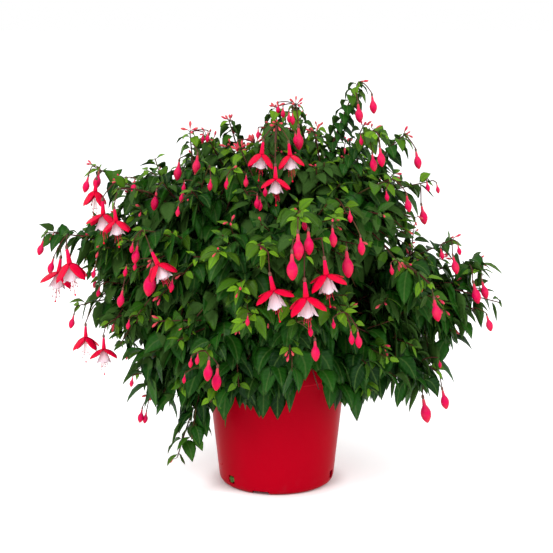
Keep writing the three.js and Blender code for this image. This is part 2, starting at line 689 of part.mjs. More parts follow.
blooms.forEach(hangBloom);
BUDS.forEach(hangBud);

// A leaf is tried as it would hang, then turned, lowered or smaller, until it hangs clear
const LEAF_TRIES = [
  [1, 0, 0], [1, 0.25, 0], [1, -0.2, 0.3], [0.9, 0.1, -0.4], [0.8, -0.25, 0], [0.75, 0.4, 0.5],
];

function leavesOf(shoot, node) {
  const { line, joints, seed } = shoot;
  const draw = draws(seed);
  const leaves = new Map();
  shoot.phase = 0.6 * (draw() - 0.5);
  for (const { j, t } of joints) {
    const { across, other } = line.frame(t);
    for (const side of [j % 2, (j % 2) + 2]) {
      const radial = turnedFrom(across, other, shoot.phase + side * 0.5 * Math.PI);
      const droop = 0.2 + (0.5 * leafLength(j)) / LEAF_LENGTH + 0.15 * draw();
      const twist = 0.5 * (draw() - 0.5);
      const hung = LEAF_TRIES.map(([scale, more, roll]) => ({
        root: line.at(t),
        radial,
        along: line.along(t),
        length: leafLength(j) * scale,
        droop: droop + more,
        twist: twist + roll,
      }));
      const form = hung.map(leafForm).find((choice) => isClear(bladeSolid(choice)));
      if (form) {
        leaves.set(`${j} ${side}`, form);
        settle(bladeSolid(form), node);
      }
    }
  }
  return leaves;
}

for (const stem of leafyStems) {
  for (const shoot of stem.shoots) {
    stem.pieces.unshift(shootSolid(shoot, leavesOf(shoot, stem.name)));
  }
}

const plant = new THREE.Group();
plant.add(meshOf('pot', potSolid, COLOURS.pot, 0.35));
plant.add(meshOf('potting_soil', soilSolid, COLOURS.soil, 0.95));
plant.add(meshOf('trunk', trunkSolid, COLOURS.bark, 0.85));
for (const { name, pieces } of leafyStems) {
  plant.add(meshOf(name, fused(pieces), COLOURS.foliage, 0.5));
}
for (const { name, red, white } of blooms) {
  plant.add(meshOf(`bloom_${name}_red`, red, COLOURS.red, 0.45));
  if (white) plant.add(meshOf(`bloom_${name}_white`, white, COLOURS.white, 0.5));
}

export default plant;
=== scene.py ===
import math

import bmesh
import bpy
import numpy as np
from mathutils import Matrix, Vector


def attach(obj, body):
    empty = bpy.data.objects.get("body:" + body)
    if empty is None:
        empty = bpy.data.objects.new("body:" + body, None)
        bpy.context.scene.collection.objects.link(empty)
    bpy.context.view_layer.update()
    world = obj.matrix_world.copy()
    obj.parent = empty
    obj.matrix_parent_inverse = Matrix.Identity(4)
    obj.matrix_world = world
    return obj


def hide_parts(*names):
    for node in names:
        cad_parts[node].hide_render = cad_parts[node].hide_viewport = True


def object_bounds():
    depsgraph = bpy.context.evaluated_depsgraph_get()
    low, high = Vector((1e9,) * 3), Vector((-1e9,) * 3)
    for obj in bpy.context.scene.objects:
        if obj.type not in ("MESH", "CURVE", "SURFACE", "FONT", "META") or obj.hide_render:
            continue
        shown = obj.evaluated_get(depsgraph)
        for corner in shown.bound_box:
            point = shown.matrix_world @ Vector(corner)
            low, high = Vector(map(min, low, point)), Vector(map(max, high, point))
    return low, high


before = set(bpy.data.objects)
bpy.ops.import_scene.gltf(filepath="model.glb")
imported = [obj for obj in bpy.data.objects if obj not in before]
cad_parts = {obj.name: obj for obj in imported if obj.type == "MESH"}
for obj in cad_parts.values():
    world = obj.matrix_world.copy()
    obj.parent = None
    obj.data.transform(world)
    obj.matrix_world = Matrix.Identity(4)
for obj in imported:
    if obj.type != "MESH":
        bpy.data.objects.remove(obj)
cad_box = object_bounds()

# The pot: one piece of injection-moulded red polypropylene with a collar, a
# rounded foot and drain openings. It is turned, and its openings are cut out.
MM = 0.001
POT_SIDES = 112

# The pot's outline in millimetres, each point a radius and a height: along the
# underside, up the outside, over the rim and down the inside
POT_ROWS = [
    (0.001, 0), (13.6, 0), (14.1, 0.4), (15.3, 4.2), (15.8, 4.5), (30, 4.5), (44.6, 4.5), (45.3, 4.2),
    (46.2, 0.6), (46.8, 0), (51.2, 0), (53, 0.5), (54.8, 1.9), (55.9, 3.6), (56.6, 5.8), (57, 8),
    (59.5, 32), (63.2, 66), (66.6, 98), (67.9, 109.9), (68.2, 110.5), (69.1, 111.2), (69.4, 112),
    (69.8, 124), (70, 127.6), (69.8, 128.5), (69.2, 129), (68.6, 128.9), (68.2, 128.3), (66.4, 108),
    (60.6, 56), (55.4, 8.4), (54.2, 6.5), (14, 6.3), (12.5, 1.8), (0.001, 1.8),
]

# The drain openings: the box that is cut out, where its centre lies from the
# axis and in height, and its turns round the pot in degrees
NOTCHES = (17, 22, 7.2), (-52.5, 0), (-16.7, 103.3, 223.3)
SIDE_HOLES = (8.5, 12, 8), (-56.5, 10), (-50, 70, 190)
FLOOR_HOLES = (7, 7, 20), (28, 5), range(0, 360, 60)
CORNER_SHARE = 0.12
POT_RED = (0.36, 0.0, 0.008, 1)
POT_DEEP_RED = (0.31, 0.0, 0.007, 1)
POT_DUST = (0.29, 0.01, 0.02, 1)


class Wire:
    """A shader value. Arithmetic on it adds the Math nodes that work it out."""

    def __init__(self, socket):
        self.socket = socket

    def worked(self, operation, *values):
        tree = self.socket.id_data
        node = tree.nodes.new("ShaderNodeMath")
        node.operation = operation
        for socket, value in zip(node.inputs, values):
            if isinstance(value, Wire):
                tree.links.new(value.socket, socket)
            else:
                socket.default_value = value
        return Wire(node.outputs[0])

    def __add__(self, other):
        return self.worked("ADD", self, other)

    def __radd__(self, other):
        return self.worked("ADD", other, self)

    def __sub__(self, other):
        return self.worked("SUBTRACT", self, other)

    def __rsub__(self, other):
        return self.worked("SUBTRACT", other, self)

    def __mul__(self, other):
        return self.worked("MULTIPLY", self, other)

    def __rmul__(self, other):
        return self.worked("MULTIPLY", other, self)

    def __abs__(self):
        return self.worked("ABSOLUTE", self)

    def zigzag(self, reach):
        return self.worked("PINGPONG", self, reach)


class Finish:
    """A material. What is the same all over it is set on the shader's own sockets."""

    def __init__(self, name, constants):
        self.material = bpy.data.materials.new(name)
        self.material.use_nodes = True
        self.tree = self.material.node_tree
        self.shader = self.tree.nodes["Principled BSDF"]
        self.fill(self.shader, constants)

    def fill(self, node, values):
        for socket, value in values.items():
            if isinstance(value, Wire):
                self.tree.links.new(value.socket, node.inputs[socket])
            else:
                node.inputs[socket].default_value = value

    def node(self, kind, settings, values, output=0):
        node = self.tree.nodes.new(kind)
        for setting, value in settings.items():
            setattr(node, setting, value)
        self.fill(node, values)
        return Wire(node.outputs[output])

    def place(self):
        return self.node("ShaderNodeTexCoord", {}, {}, "Object")

    def noise(self, scale, detail=3.0, stretch=(1, 1, 1)):
        spread = self.node("ShaderNodeMapping", {}, {"Vector": self.place(), "Scale": stretch})
        return self.node("ShaderNodeTexNoise", {}, {"Vector": spread, "Scale": scale, "Detail": detail})

    def rising(self, value, low, high):
        limits = {"Value": value, "From Min": low, "From Max": high}
        return self.node("ShaderNodeMapRange", {"interpolation_type": "SMOOTHSTEP"}, limits)

    def blended(self, share, first, second):
        return self.node("ShaderNodeMix", {"data_type": "RGBA"}, {0: share, 6: first, 7: second}, 2)

    def marked(self, attribute):
        return self.node("ShaderNodeAttribute", {"attribute_name": attribute}, {}, "Fac")

    def raised(self, height, strength, distance):
        values = {"Height": height, "Strength": strength, "Distance": distance}
        return self.node("ShaderNodeBump", {}, values)


def pot_plastic():
    plastic = Finish("red_pot_plastic", {"IOR": 1.45, "Specular IOR Level": 0.02})
    clouds = plastic.noise(18)
    grain = plastic.noise(900, 2)
    height = plastic.node("ShaderNodeSeparateXYZ", {}, {"Vector": plastic.place()}, "Z")
    near_foot = 1 - plastic.rising(height, 0.004, 0.03)
    dust = plastic.rising(plastic.noise(70, 6), 0.55, 0.75) * (near_foot * 0.5 + 0.03)
    red = plastic.blended(clouds, POT_RED, POT_DEEP_RED)
    plastic.fill(plastic.shader, {
        "Base Color": plastic.blended(dust, red, POT_DUST),
        "Roughness": 0.24 + 0.1 * clouds + 0.25 * dust,
        "Normal": plastic.raised(grain, 0.08, 0.0003),
    })
    return plastic.material


def turned(name, rows, sides):
    """A form turned on Z: a ring of points, drawn out row by row. A row is a radius and a height."""
    bpy.ops.object.select_all(action="DESELECT")
    radius, height = rows[0]
    bpy.ops.mesh.primitive_circle_add(vertices=sides, radius=radius, location=(0, 0, height))
    piece = bpy.context.object
    piece.name = name
    bpy.ops.object.transform_apply(location=True)
    bpy.ops.object.mode_set(mode="EDIT")
    bpy.ops.mesh.select_all(action="SELECT")
    for next_radius, next_height in rows[1:]:
        share = next_radius / radius
        bpy.ops.mesh.extrude_region_move(TRANSFORM_OT_translate={"value": (0, 0, next_height - height)})
        bpy.ops.transform.resize(value=(share, share, 1), center_override=(0, 0, next_height))
        radius, height = next_radius, next_height
    bpy.ops.mesh.select_all(action="SELECT")
    bpy.ops.mesh.remove_doubles(threshold=0.0002 * max(radius for radius, _ in rows))
    bpy.ops.mesh.normals_make_consistent(inside=False)
    bpy.ops.object.mode_set(mode="OBJECT")
    return piece


def select_only(*pieces):
    """Selects these pieces alone. The last of them is the active one."""
    bpy.ops.object.select_all(action="DESELECT")
    for piece in pieces:
        piece.select_set(True)
    bpy.context.view_layer.objects.active = pieces[-1]


def cut_opening(piece, box, centre, turn):
    """Cuts a box with rounded corners out of a piece, at a turn round it."""
    angle = math.radians(turn)
    across, up = (value * MM for value in centre)
    place = (-across * math.sin(angle), across * math.cos(angle), up)
    bpy.ops.object.select_all(action="DESELECT")
    bpy.ops.mesh.primitive_cube_add(size=1, location=place, rotation=(0, 0, angle))
    cutter = bpy.context.object
    cutter.scale = [side * MM for side in box]
    bpy.ops.object.transform_apply(location=True, rotation=True, scale=True)
    bpy.ops.object.mode_set(mode="EDIT")
    bpy.ops.mesh.select_all(action="SELECT")
    bpy.ops.mesh.bevel(offset=CORNER_SHARE * min(box) * MM, segments=2)
    bpy.ops.object.mode_set(mode="OBJECT")
    select_only(piece)
    opening = piece.modifiers.new("opening", "BOOLEAN")
    opening.operation = "DIFFERENCE"
    opening.object = cutter
    bpy.ops.object.modifier_apply(modifier=opening.name)
    bpy.data.objects.remove(cutter)


def smooth(piece, degrees):
    select_only(piece)
    bpy.ops.object.shade_smooth_by_angle(angle=math.radians(degrees))


def belongs(piece, slot, *nodes):
    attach(piece, "root")
    if nodes:
        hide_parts(*nodes)


pot = turned("red_pot", [(r * MM, z * MM) for r, z in POT_ROWS], POT_SIDES)
for box, centre, turns in (NOTCHES, SIDE_HOLES, FLOOR_HOLES):
    for turn in turns:
        cut_opening(pot, box, centre, turn)
smooth(pot, 35)
pot.data.materials.append(pot_plastic())
belongs(pot, "pot_plastic", "pot")

# Moss: a green tuft that has grown out through the side hole at the left of
# the front. It is a handful of rough lumps pressed together in the hole.
MOSS_LUMPS = 16
MOSS_WIDTH, MOSS_HEIGHT, MOSS_DEPTH = 6, 5.5, 1.2
MOSS_REACH = 55
MOSS_GREEN = (0.03, 0.10, 0.012, 1)
MOSS_LIGHT = (0.09, 0.15, 0.03, 1)


def draws(seed):
    """A repeatable run of numbers from 0 to 1."""
    state = seed
    while True:
        state = (state * 48271) % 2147483647
        yield state / 2147483647


def mottled(name, constants, grain, limits, colours, roughness, relief):
    """A material whose colour, roughness and relief all follow one noise."""
    finish = Finish(name, constants)
    spots = finish.noise(*grain)
    least, more = roughness
    finish.fill(finish.shader, {
        "Base Color": finish.blended(finish.rising(spots, *limits), *colours),
        "Roughness": least + more * spots,
        "Normal": finish.raised(spots, *relief),
    })
    return finish.material


def moss_tuft():
    chance = draws(77)
    _, (_, hole_height), hole_turns = SIDE_HOLES
    angle = math.radians(hole_turns[0])
    lumps = []
    for _ in range(MOSS_LUMPS):
        aside = (next(chance) - 0.5) * MOSS_WIDTH
        up = (next(chance) - 0.5) * MOSS_HEIGHT
        reach = MOSS_REACH + next(chance) * MOSS_DEPTH - 0.4 * abs(up)
        place = (aside * math.cos(angle) + reach * math.sin(angle),
                 aside * math.sin(angle) - reach * math.cos(angle), hole_height + up)
        bpy.ops.object.select_all(action="DESELECT")
        bpy.ops.mesh.primitive_ico_sphere_add(
            subdivisions=3, radius=(1 + 0.8 * next(chance)) * MM, location=[value * MM for value in place])
        lump = bpy.context.object
        bpy.ops.object.transform_apply(location=True)
        bpy.ops.object.mode_set(mode="EDIT")
        bpy.ops.mesh.select_all(action="SELECT")
        bpy.ops.transform.vertex_random(offset=0.18 * MM, seed=len(lumps))
        bpy.ops.object.mode_set(mode="OBJECT")
        lumps.append(lump)
    select_only(*lumps)
    bpy.ops.object.join()
    tuft = bpy.context.object
    tuft.name = "moss_in_side_hole"
    smooth(tuft, 60)
    return tuft


moss = moss_tuft()
moss.data.materials.append(mottled(
    "moss", {"IOR": 1.4}, grain=(1400, 5), limits=(0.35, 0.7), colours=(MOSS_GREEN, MOSS_LIGHT),
    roughness=(0.9, 0), relief=(0.8, 0.0008)))
belongs(moss, "foliage")

# Potting soil: peat with bark crumbs and white grains, filled in loose and a
# little heaped round the trunk. Its top is uneven, and crumbs lie on it.
SOIL_ROWS = [
    (0.001, 2.3), (11.8, 2.3), (13.5, 6.9), (54, 7), (64.4, 108), (64.8, 111), (63, 112.4), (58, 113.2),
    (52, 113.4), (46, 113.9), (40, 114.2), (34, 114.6), (28, 114.9), (22, 115.2), (16, 115.4),
    (10, 115.6), (5, 115.8), (0.001, 115.8),
]
SOIL_SIDES = 56
SOIL_EDGE, SOIL_EDGE_HEIGHT = 62, 111
SOIL_HEAP, SOIL_SLOPE = 115.4, 0.03
UNEVENNESS = 1.6
CRUMBS, WHITE_EVERY = 260, 6
SOIL_DARK = (0.016, 0.010, 0.007, 1)
SOIL_BROWN = (0.075, 0.045, 0.028, 1)
GRAIN_WHITE = (0.55, 0.52, 0.46, 1)


def soil_look(name, light, limits):
    return mottled(name, {"IOR": 1.35}, grain=(420, 6), limits=limits, colours=(SOIL_DARK, light),
                   roughness=(0.8, 0.15), relief=(1.0, 0.0015))


def crumb(place, size, seed):
    """A rough flattened grain."""
    bpy.ops.object.select_all(action="DESELECT")
    bpy.ops.mesh.primitive_ico_sphere_add(subdivisions=1, radius=size * MM, location=place)
    piece = bpy.context.object
    bpy.ops.object.transform_apply(location=True)
    bpy.ops.object.mode_set(mode="EDIT")
    bpy.ops.mesh.select_all(action="SELECT")
    bpy.ops.transform.resize(value=(1.3, 0.9, 0.6), center_override=place)
    bpy.ops.transform.vertex_random(offset=0.3 * size * MM, seed=seed)
    bpy.ops.object.mode_set(mode="OBJECT")
    return piece


def potting_soil():
    bed = turned("potting_soil_bed", [(r * MM, z * MM) for r, z in SOIL_ROWS], SOIL_SIDES)
    bed.data.materials.append(soil_look("potting_soil", SOIL_BROWN, (0.45, 0.7)))
    bed.data.materials.append(soil_look("white_grain", GRAIN_WHITE, (0.2, 0.45)))
    chance = draws(31)
    for vertex in bed.data.vertices:
        is_within = math.hypot(vertex.co.x, vertex.co.y) < SOIL_EDGE * MM
        if is_within and vertex.co.z > SOIL_EDGE_HEIGHT * MM:
            vertex.co.z += (next(chance) - 0.6) * UNEVENNESS * MM
    crumbs = []
    for index in range(CRUMBS):
        turn, out = 2 * math.pi * next(chance), (SOIL_EDGE - 2) * math.sqrt(next(chance)) + 1.5
        height = SOIL_HEAP - SOIL_SLOPE * out
        place = (out * math.cos(turn) * MM, out * math.sin(turn) * MM, height * MM)
        piece = crumb(place, 0.5 + 1.3 * next(chance), index)
        piece.data.materials.append(bed.data.materials[0])
        piece.data.materials.append(bed.data.materials[1])
        for face in piece.data.polygons:
            face.material_index = int(index % WHITE_EVERY == 0)
        crumbs.append(piece)
    select_only(*crumbs, bed)
    bpy.ops.object.join()
    smooth(bed, 40)
    return bed


soil = potting_soil()
belongs(soil, "potting_soil", "potting_soil")

# The trunk: a short woody stock with grey-brown bark. Its limbs part just
# above the soil, and each carries one leafy stem.
UP = np.array([0.0, 0.0, 1.0])
TRUNK_TOP = 138
TRUNK_ROWS = [(67, 5.2), (90, 5.8), (113, 6.2), (118, 6.0), (128, 5.8), (136, 5.4), (138, 4)]
LIMB_RADIUS, LIMB_TAPER = 3, 0.9
LIMB_SHARE = 0.2
BARK_BROWN = (0.075, 0.042, 0.028, 1)
BARK_GREY = (0.17, 0.125, 0.09, 1)

# The tip of each stem's leader in millimetres, then the tips of its side shoots.
# A fourth number lifts the leader's bow.
STEMS = {
    "left_top": [[-173, -20, 314, -18], [-145, -52, 305], [-118, 20, 317]],
    "left_arm": [[-221, -10, 249, -14], [-196, -42, 252]],
    "left_shoulder": [[-121, -40, 313], [-76, -102, 302], [-80, -44, 348]],
    "crown_left": [[-46, 30, 352], [-40, -100, 321], [-75, 65, 325]],
    "crown_middle": [[0, 8, 366], [18, -36, 373], [0, -90, 359]],
    "crown_tall": [[78, 0, 392], [40, 34, 345]],
    "crown_right": [[88, -66, 352], [106, -68, 308], [61, -120, 285]],
    "right_shoulder": [[121, -6, 342], [146, -10, 298]],
    "right_arm": [[198, 10, 217, -28], [166, -30, 245], [118, -92, 232]],
    "right_far": [[217, -10, 180], [145, -85, 200]],
    "right_low": [[156, -30, 116, 12], [160, 30, 118], [128, -62, 150]],
    "front_right_low": [[88, -84, 112, 22], [104, -98, 146]],
    "front_upper": [[20, -146, 290], [50, -148, 284], [-16, -156, 262], [24, -150, 262]],
    "front_left": [[-51, -150, 255], [-32, -160, 224]],
    "front_middle": [[18, -165, 196], [-29, -165, 195], [60, -155, 202]],
    "left_face": [[-121, -100, 266], [-136, -84, 226], [-129, -80, 182]],
    "front_low": [[-64, -140, 164], [-89, -118, 168], [-34, -120, 126]],
    "trailing": [[-94, -70, 43, 108]],
    "left_low": [[-122, -20, 92, 30], [-140, 30, 102]],
    "left_far": [[-191, -24, 180], [-160, -50, 168], [-158, 48, 190]],
    "back_left": [[-140, 95, 285], [-150, 92, 205], [-95, 140, 240]],
    "back_middle": [[-40, 165, 255], [-60, 112, 315], [-30, 172, 185]],
    "back_right": [[85, 140, 270], [30, 165, 228], [70, 92, 325]],
    "back_right_low": [[130, 112, 190], [150, 92, 150], [52, 160, 165]],
    "back_low": [[-98, 138, 150], [-18, 148, 128]],
}


def unit(vector):
    return vector / np.linalg.norm(vector)


class Bow:
    """A bowed line from a start to an end, drawn towards a control point between them."""

    def __init__(self, start, control, end):
        self.start, self.control, self.end = start, control, end
        points = [self.at(share) for share in np.linspace(0, 1, 17)]
        self.length = sum(np.linalg.norm(b - a) for a, b in zip(points, points[1:]))
        across = np.cross(control - start, end - control)
        if np.linalg.norm(across) < 1:
            across = np.cross(UP, self.along(0))
        self.across = unit(across)

    def at(self, share):
        first = self.start + (self.control - self.start) * share
        return first + (self.control + (self.end - self.control) * share - first) * share

    def along(self, share):
        return unit((self.control - self.start) * (1 - share) + (self.end - self.control) * share)


def leader_line(x, y, z, lift=0):
    """The line of a stem's main shoot, which the stem's solid follows too."""
    reach = math.hypot(x, y)
    start = np.array([3 * x / reach, 3 * y / reach, TRUNK_TOP - 4 - 0.05 * abs(z - 150)])
    bulge = start[2] + 0.62 * (z - start[2]) + 0.24 * reach + lift
    return Bow(start, np.array([0.46 * x, 0.46 * y, bulge]), np.array([x, y, z], float))


def rods(name, strands, material, roundness=1):
    """Round rods as one mesh. A strand is its points in millimetres and the radius at each."""
    curve = bpy.data.curves.new(name, "CURVE")
    curve.dimensions = "3D"
    curve.bevel_depth = MM
    curve.bevel_resolution = roundness
    curve.use_fill_caps = True
    for points, radii in strands:
        spline = curve.splines.new("POLY")
        spline.points.add(len(points) - 1)
        for point, place, radius in zip(spline.points, points, radii):
            point.co = (*(place * MM), 1)
            point.radius = radius
    piece = bpy.data.objects.new(name, curve)
    bpy.context.collection.objects.link(piece)
    select_only(piece)
    bpy.ops.object.convert(target="MESH")
    piece = bpy.context.object
    bpy.ops.object.shade_smooth()
    piece.data.materials.clear()
    piece.data.materials.append(material)
    return piece


def trunk_strands():
    strands = [([UP * height for height, _ in TRUNK_ROWS], [radius for _, radius in TRUNK_ROWS])]
    for tips in STEMS.values():
        leader = leader_line(*tips[0])
        shares = np.linspace(0, LIMB_SHARE + 0.01, 6)
        radii = LIMB_RADIUS - LIMB_TAPER * shares / LIMB_SHARE
        strands.append(([leader.at(share) for share in shares], radii))
    return strands


bark = mottled("bark", {"IOR": 1.4}, grain=(240, 6, (1, 1, 0.25)), limits=(0.35, 0.7),
               colours=(BARK_BROWN, BARK_GREY), roughness=(0.75, 0.2), relief=(0.9, 0.0012))
trunk = rods("woody_trunk", trunk_strands(), bark, roundness=4)
belongs(trunk, "bark", "trunk")

# Open flowers: a dark ovary, a red tube, four red sepals and, round the style,
# a white bell of four petals. Eight stamens and one long style hang below it.
OVARY_LENGTH, TUBE_LENGTH = 5, 13.5
SEPAL_LENGTH, SEPAL_WIDTH = 24, 12.5
BELL_LENGTH = 17.5
STYLE_LENGTH = 46
STAMENS = 8
PETAL_RED = (0.64, 0.0, 0.028, 1)
PETAL_PINK = (0.66, 0.003, 0.068, 1)
PETAL_DEEP = (0.38, 0.0, 0.018, 1)
OVARY_DARK, OVARY_LIGHT = (0.07, 0.03, 0.012, 1), (0.16, 0.05, 0.03, 1)
ANTHER_DARK, ANTHER_LIGHT = (0.22, 0.004, 0.02, 1), (0.42, 0.01, 0.05, 1)
BELL_WHITE = (0.66, 0.53, 0.58, 1)
BELL_VEIN = (0.66, 0.10, 0.20, 1)

# The top of each red tube in millimetres, the lean of its axis, its size, the
# spread of its sepals in degrees, and whether its bell shows
BLOOMS = {
    "crown_centre": ([-1, -120, 325], [0.02, -0.08], 0.75, 55, True),
    "crown_left": ([-12, -94, 344], [-0.12, -0.05], 0.76, 43, True),
    "crown_right": ([11, -98, 343], [0.1, -0.1], 0.74, 45, True),
    "front_left": ([-5, -176, 238], [0.2, 0.05], 0.9, 68, True),
    "front_centre": ([24, -182, 234], [0.09, -0.02], 0.95, 52, True),
    "front_right": ([41, -172, 251], [0.13, 0], 0.9, 56, True),
    "side_facing": ([-110, -122, 249], [0.5, -0.3], 0.85, 50, True),
    "left_upper": ([-168, -42, 303], [-0.1, -0.1], 0.75, 40, False),
    "left_second": ([-160, -62, 286], [0.02, -0.1], 0.85, 55, True),
    "left_third": ([-146, -92, 283], [0.12, -0.15], 0.75, 50, True),
    "arm_outer": ([-206, -24, 225], [-0.14, -0.1], 0.9, 52, True),
    "arm_inner": ([-194, -62, 241], [0.16, -0.05], 0.95, 42, True),
    "left_lower": ([-181, -44, 164], [0, -0.1], 0.75, 45, False),
    "left_lowest": ([-162, -62, 157], [0.02, -0.2], 0.75, 58, True),
    "back_upper": ([-60, 136, 290], [-0.05, 0.12], 0.95, 52, True),
    "back_centre": ([38, 178, 215], [0.05, 0.1], 1, 55, True),
    "back_side": ([102, 150, 248], [0.12, 0.1], 0.9, 48, True),
}


def pick(mesh, chosen):
    """Selects, in edit mode, the points that a test picks out."""
    bpy.ops.mesh.select_all(action="DESELECT")
    points = bmesh.from_edit_mesh(mesh)
    for point in points.verts:
        point.select = bool(chosen(point.co))
    points.select_flush_mode()
    bmesh.update_edit_mesh(mesh)


def blade(name, rows, columns, thickness):
    """A thin closed blade, modelled flat: 2 wide and 1 long. A row is its place and its width."""
    bpy.ops.object.select_all(action="DESELECT")
    bpy.ops.mesh.primitive_grid_add(x_subdivisions=columns, y_subdivisions=len(rows) - 1, size=2)
    piece = bpy.context.object
    piece.name = name
    mesh = piece.data
    bpy.ops.object.mode_set(mode="EDIT")
    step = 2 / (len(rows) - 1)
    # Rows that are done wait further along, where they aren't picked again
    done_at = 10
    for number, (place, width) in reversed(list(enumerate(rows))):
        here = -1 + number * step
        pick(mesh, lambda co: abs(co.y - here) < 0.3 * step)
        bpy.ops.transform.resize(value=(max(width, 1e-4), 1, 1), center_override=(0, here, 0))
        bpy.ops.transform.translate(value=(0, done_at + place - here, 0))
    bpy.ops.mesh.select_all(action="SELECT")
    bpy.ops.transform.translate(value=(0, -done_at, 0))
    bpy.ops.mesh.remove_doubles(threshold=1e-3)
    bpy.ops.mesh.select_all(action="SELECT")
    bpy.ops.mesh.region_to_loop()
    bpy.ops.mesh.select_all(action="INVERT")
    bpy.ops.transform.translate(value=(0, 0, thickness / 2))
    bpy.ops.mesh.select_all(action="SELECT")
    bpy.ops.mesh.duplicate()
    bpy.ops.transform.resize(value=(1, 1, -1), center_override=(0, 0, 0))
    bpy.ops.mesh.select_all(action="SELECT")
    bpy.ops.mesh.remove_doubles(threshold=1e-4)
    bpy.ops.mesh.normals_make_consistent(inside=False)
    bpy.ops.object.mode_set(mode="OBJECT")
    return taken(piece)


def taken(piece):
    """The points and faces of a modelled pattern, which is then put away."""
    mesh = piece.data
    points = np.array([vertex.co[:] for vertex in mesh.vertices])
    faces = [tuple(face.vertices) for face in mesh.polygons]
    bpy.data.objects.remove(piece)
    return points, faces


class Gathered:
    """Copies of patterns, gathered into one mesh with a value for each point."""

    def __init__(self):
        self.points, self.faces, self.looks, self.marks = [], [], [], {}
        self.count = 0

    def add(self, points, faces, look, marks):
        self.faces += [tuple(corner + self.count for corner in face) for face in faces]
        self.looks += np.broadcast_to(look, len(faces)).tolist()
        self.points.append(points)
        for mark, values in marks.items():
            self.marks.setdefault(mark, []).append(np.broadcast_to(values, len(points)))
        self.count += len(points)

    def piece(self, name, materials):
        mesh = bpy.data.meshes.new(name)
        mesh.from_pydata((np.concatenate(self.points) * MM).tolist(), [], self.faces)
        for material in materials:
            mesh.materials.append(material)
        mesh.polygons.foreach_set("material_index", self.looks)
        mesh.polygons.foreach_set("use_smooth", [True] * len(self.faces))
        for mark, values in self.marks.items():
            layer = mesh.attributes.new(mark, "FLOAT", "POINT")
            layer.data.foreach_set("value", np.concatenate(values).astype(np.float32))
        mesh.update()
        made = bpy.data.objects.new(name, mesh)
        bpy.context.collection.objects.link(made)
        return made


def petal_look(name, colours, roughness):
    """Soft petal skin with lengthwise veins. The colours run from the tube's top to the tips."""
    petal = Finish(name, {"IOR": 1.38, "Specular IOR Level": 0.1})
    top, middle, tip = colours
    along, across = petal.marked("along"), petal.marked("across")
    veins = (across * 5 + 0.15 * petal.noise(500, 2)).zigzag(0.5) * 2
    flush = petal.blended(petal.rising(along, 0.0, 0.45), top, middle)
    plain = petal.blended(petal.rising(along, 0.55, 1.0), flush, tip)
    colour = petal.blended(0.5 * (1 - petal.rising(veins, 0.05, 0.4)), plain, PETAL_DEEP)
    petal.fill(petal.shader, {
        "Base Color": petal.blended(0.25 * petal.rising(petal.noise(160, 4), 0.4, 0.7), colour, top),
        "Roughness": roughness + 0.12 * petal.noise(90, 2),
        "Normal": petal.raised(veins, 0.25, 0.0005),
    })
    return petal.material


def bell_look():
    white = Finish("white_petal", {"IOR": 1.36, "Specular IOR Level": 0.25})
    along, across = white.marked("along"), white.marked("across")
    ribs = (across * 4 + 0.3 * white.noise(300, 3)).zigzag(0.5) * 2
    veins = (1 - white.rising(ribs, 0.04, 0.3)) * (1 - white.rising(along, 0.15, 0.8))
    blush = 0.35 * (1 - white.rising(along, 0.0, 0.35))
    veined = white.blended(0.7 * veins + blush, BELL_WHITE, BELL_VEIN)
    white.fill(white.shader, {
        "Base Color": veined,
        "Roughness": 0.5 + 0.15 * ribs,
        "Normal": white.raised(ribs, 0.35, 0.0006),
    })
    return white.material


petal_red = petal_look("red_petal", (PETAL_PINK, PETAL_RED, PETAL_RED), 0.36)
bell_white = bell_look()
RED, OVARY_GREEN, ANTHER = range(3)
ovary_dark = mottled("ovary_green", {"IOR": 1.45}, grain=(700, 4), limits=(0.35, 0.75),
                     colours=(OVARY_DARK, OVARY_LIGHT), roughness=(0.4, 0.15), relief=(0.4, 0.0003))
anther_dark = mottled("anther_red", {"IOR": 1.45}, grain=(700, 4), limits=(0.35, 0.75),
                      colours=(ANTHER_DARK, ANTHER_LIGHT), roughness=(0.5, 0.15), relief=(0.4, 0.0003))

sepal_rows = [(0, 0.42), (0.12, 0.75), (0.28, 1), (0.5, 1), (0.7, 0.9), (0.86, 0.58), (1, 0)]
sepal_pattern = blade("sepal_pattern", sepal_rows, 4, 0.7)
petal_rows = [
    (0, 0.3), (0.14, 0.62), (0.3, 0.86), (0.48, 1), (0.66, 1.08), (0.82, 1.06), (0.93, 0.9), (1, 0.6),
]
petal_pattern = blade("petal_pattern", petal_rows, 6, 0.6)
tube_rows = [
    (0.1, -5.0), (0.8, -4.9), (1.4, -4.2), (1.75, -3), (1.7, -1.8), (1.35, -0.8), (1.5, 0.2), (1.75, 1.5),
    (1.9, 4), (2.15, 7), (2.5, 10), (2.75, 12.2), (2.7, 13.6), (2.3, 13.9), (2.0, 12.4), (0.1, 11.5),
]
tube_pattern = taken(turned("tube_pattern", tube_rows, 14))
anther_rows = [(0.02, -1), (0.45, -0.7), (0.6, 0), (0.45, 0.7), (0.02, 1)]
anther_pattern = taken(turned("anther_pattern", anther_rows, 6))


class Flower:
    """A flower's own frame: the distance from its axis, the turn round it and the way down it."""

    def __init__(self, top, lean, size):
        self.axis = unit(np.array([lean[0], lean[1], -1.0]))
        self.across = unit(np.array([1.0, 0, 0]) - self.axis * self.axis[0])
        self.other = np.cross(self.axis, self.across)
        self.top, self.size = np.array(top, float), size

    def at(self, radius, turn, height):
        radius, turn, height = (np.asarray(value, float)[..., None] for value in (radius, turn, height))
        aside = self.across * np.cos(turn) + self.other * np.sin(turn)
        return self.top + self.size * (self.axis * height + aside * radius)

    def set_in(self, points):
        """Places a turned pattern on the axis."""
        x, y, z = points.T
        return self.at(np.hypot(x, y), np.arctan2(y, x), z)


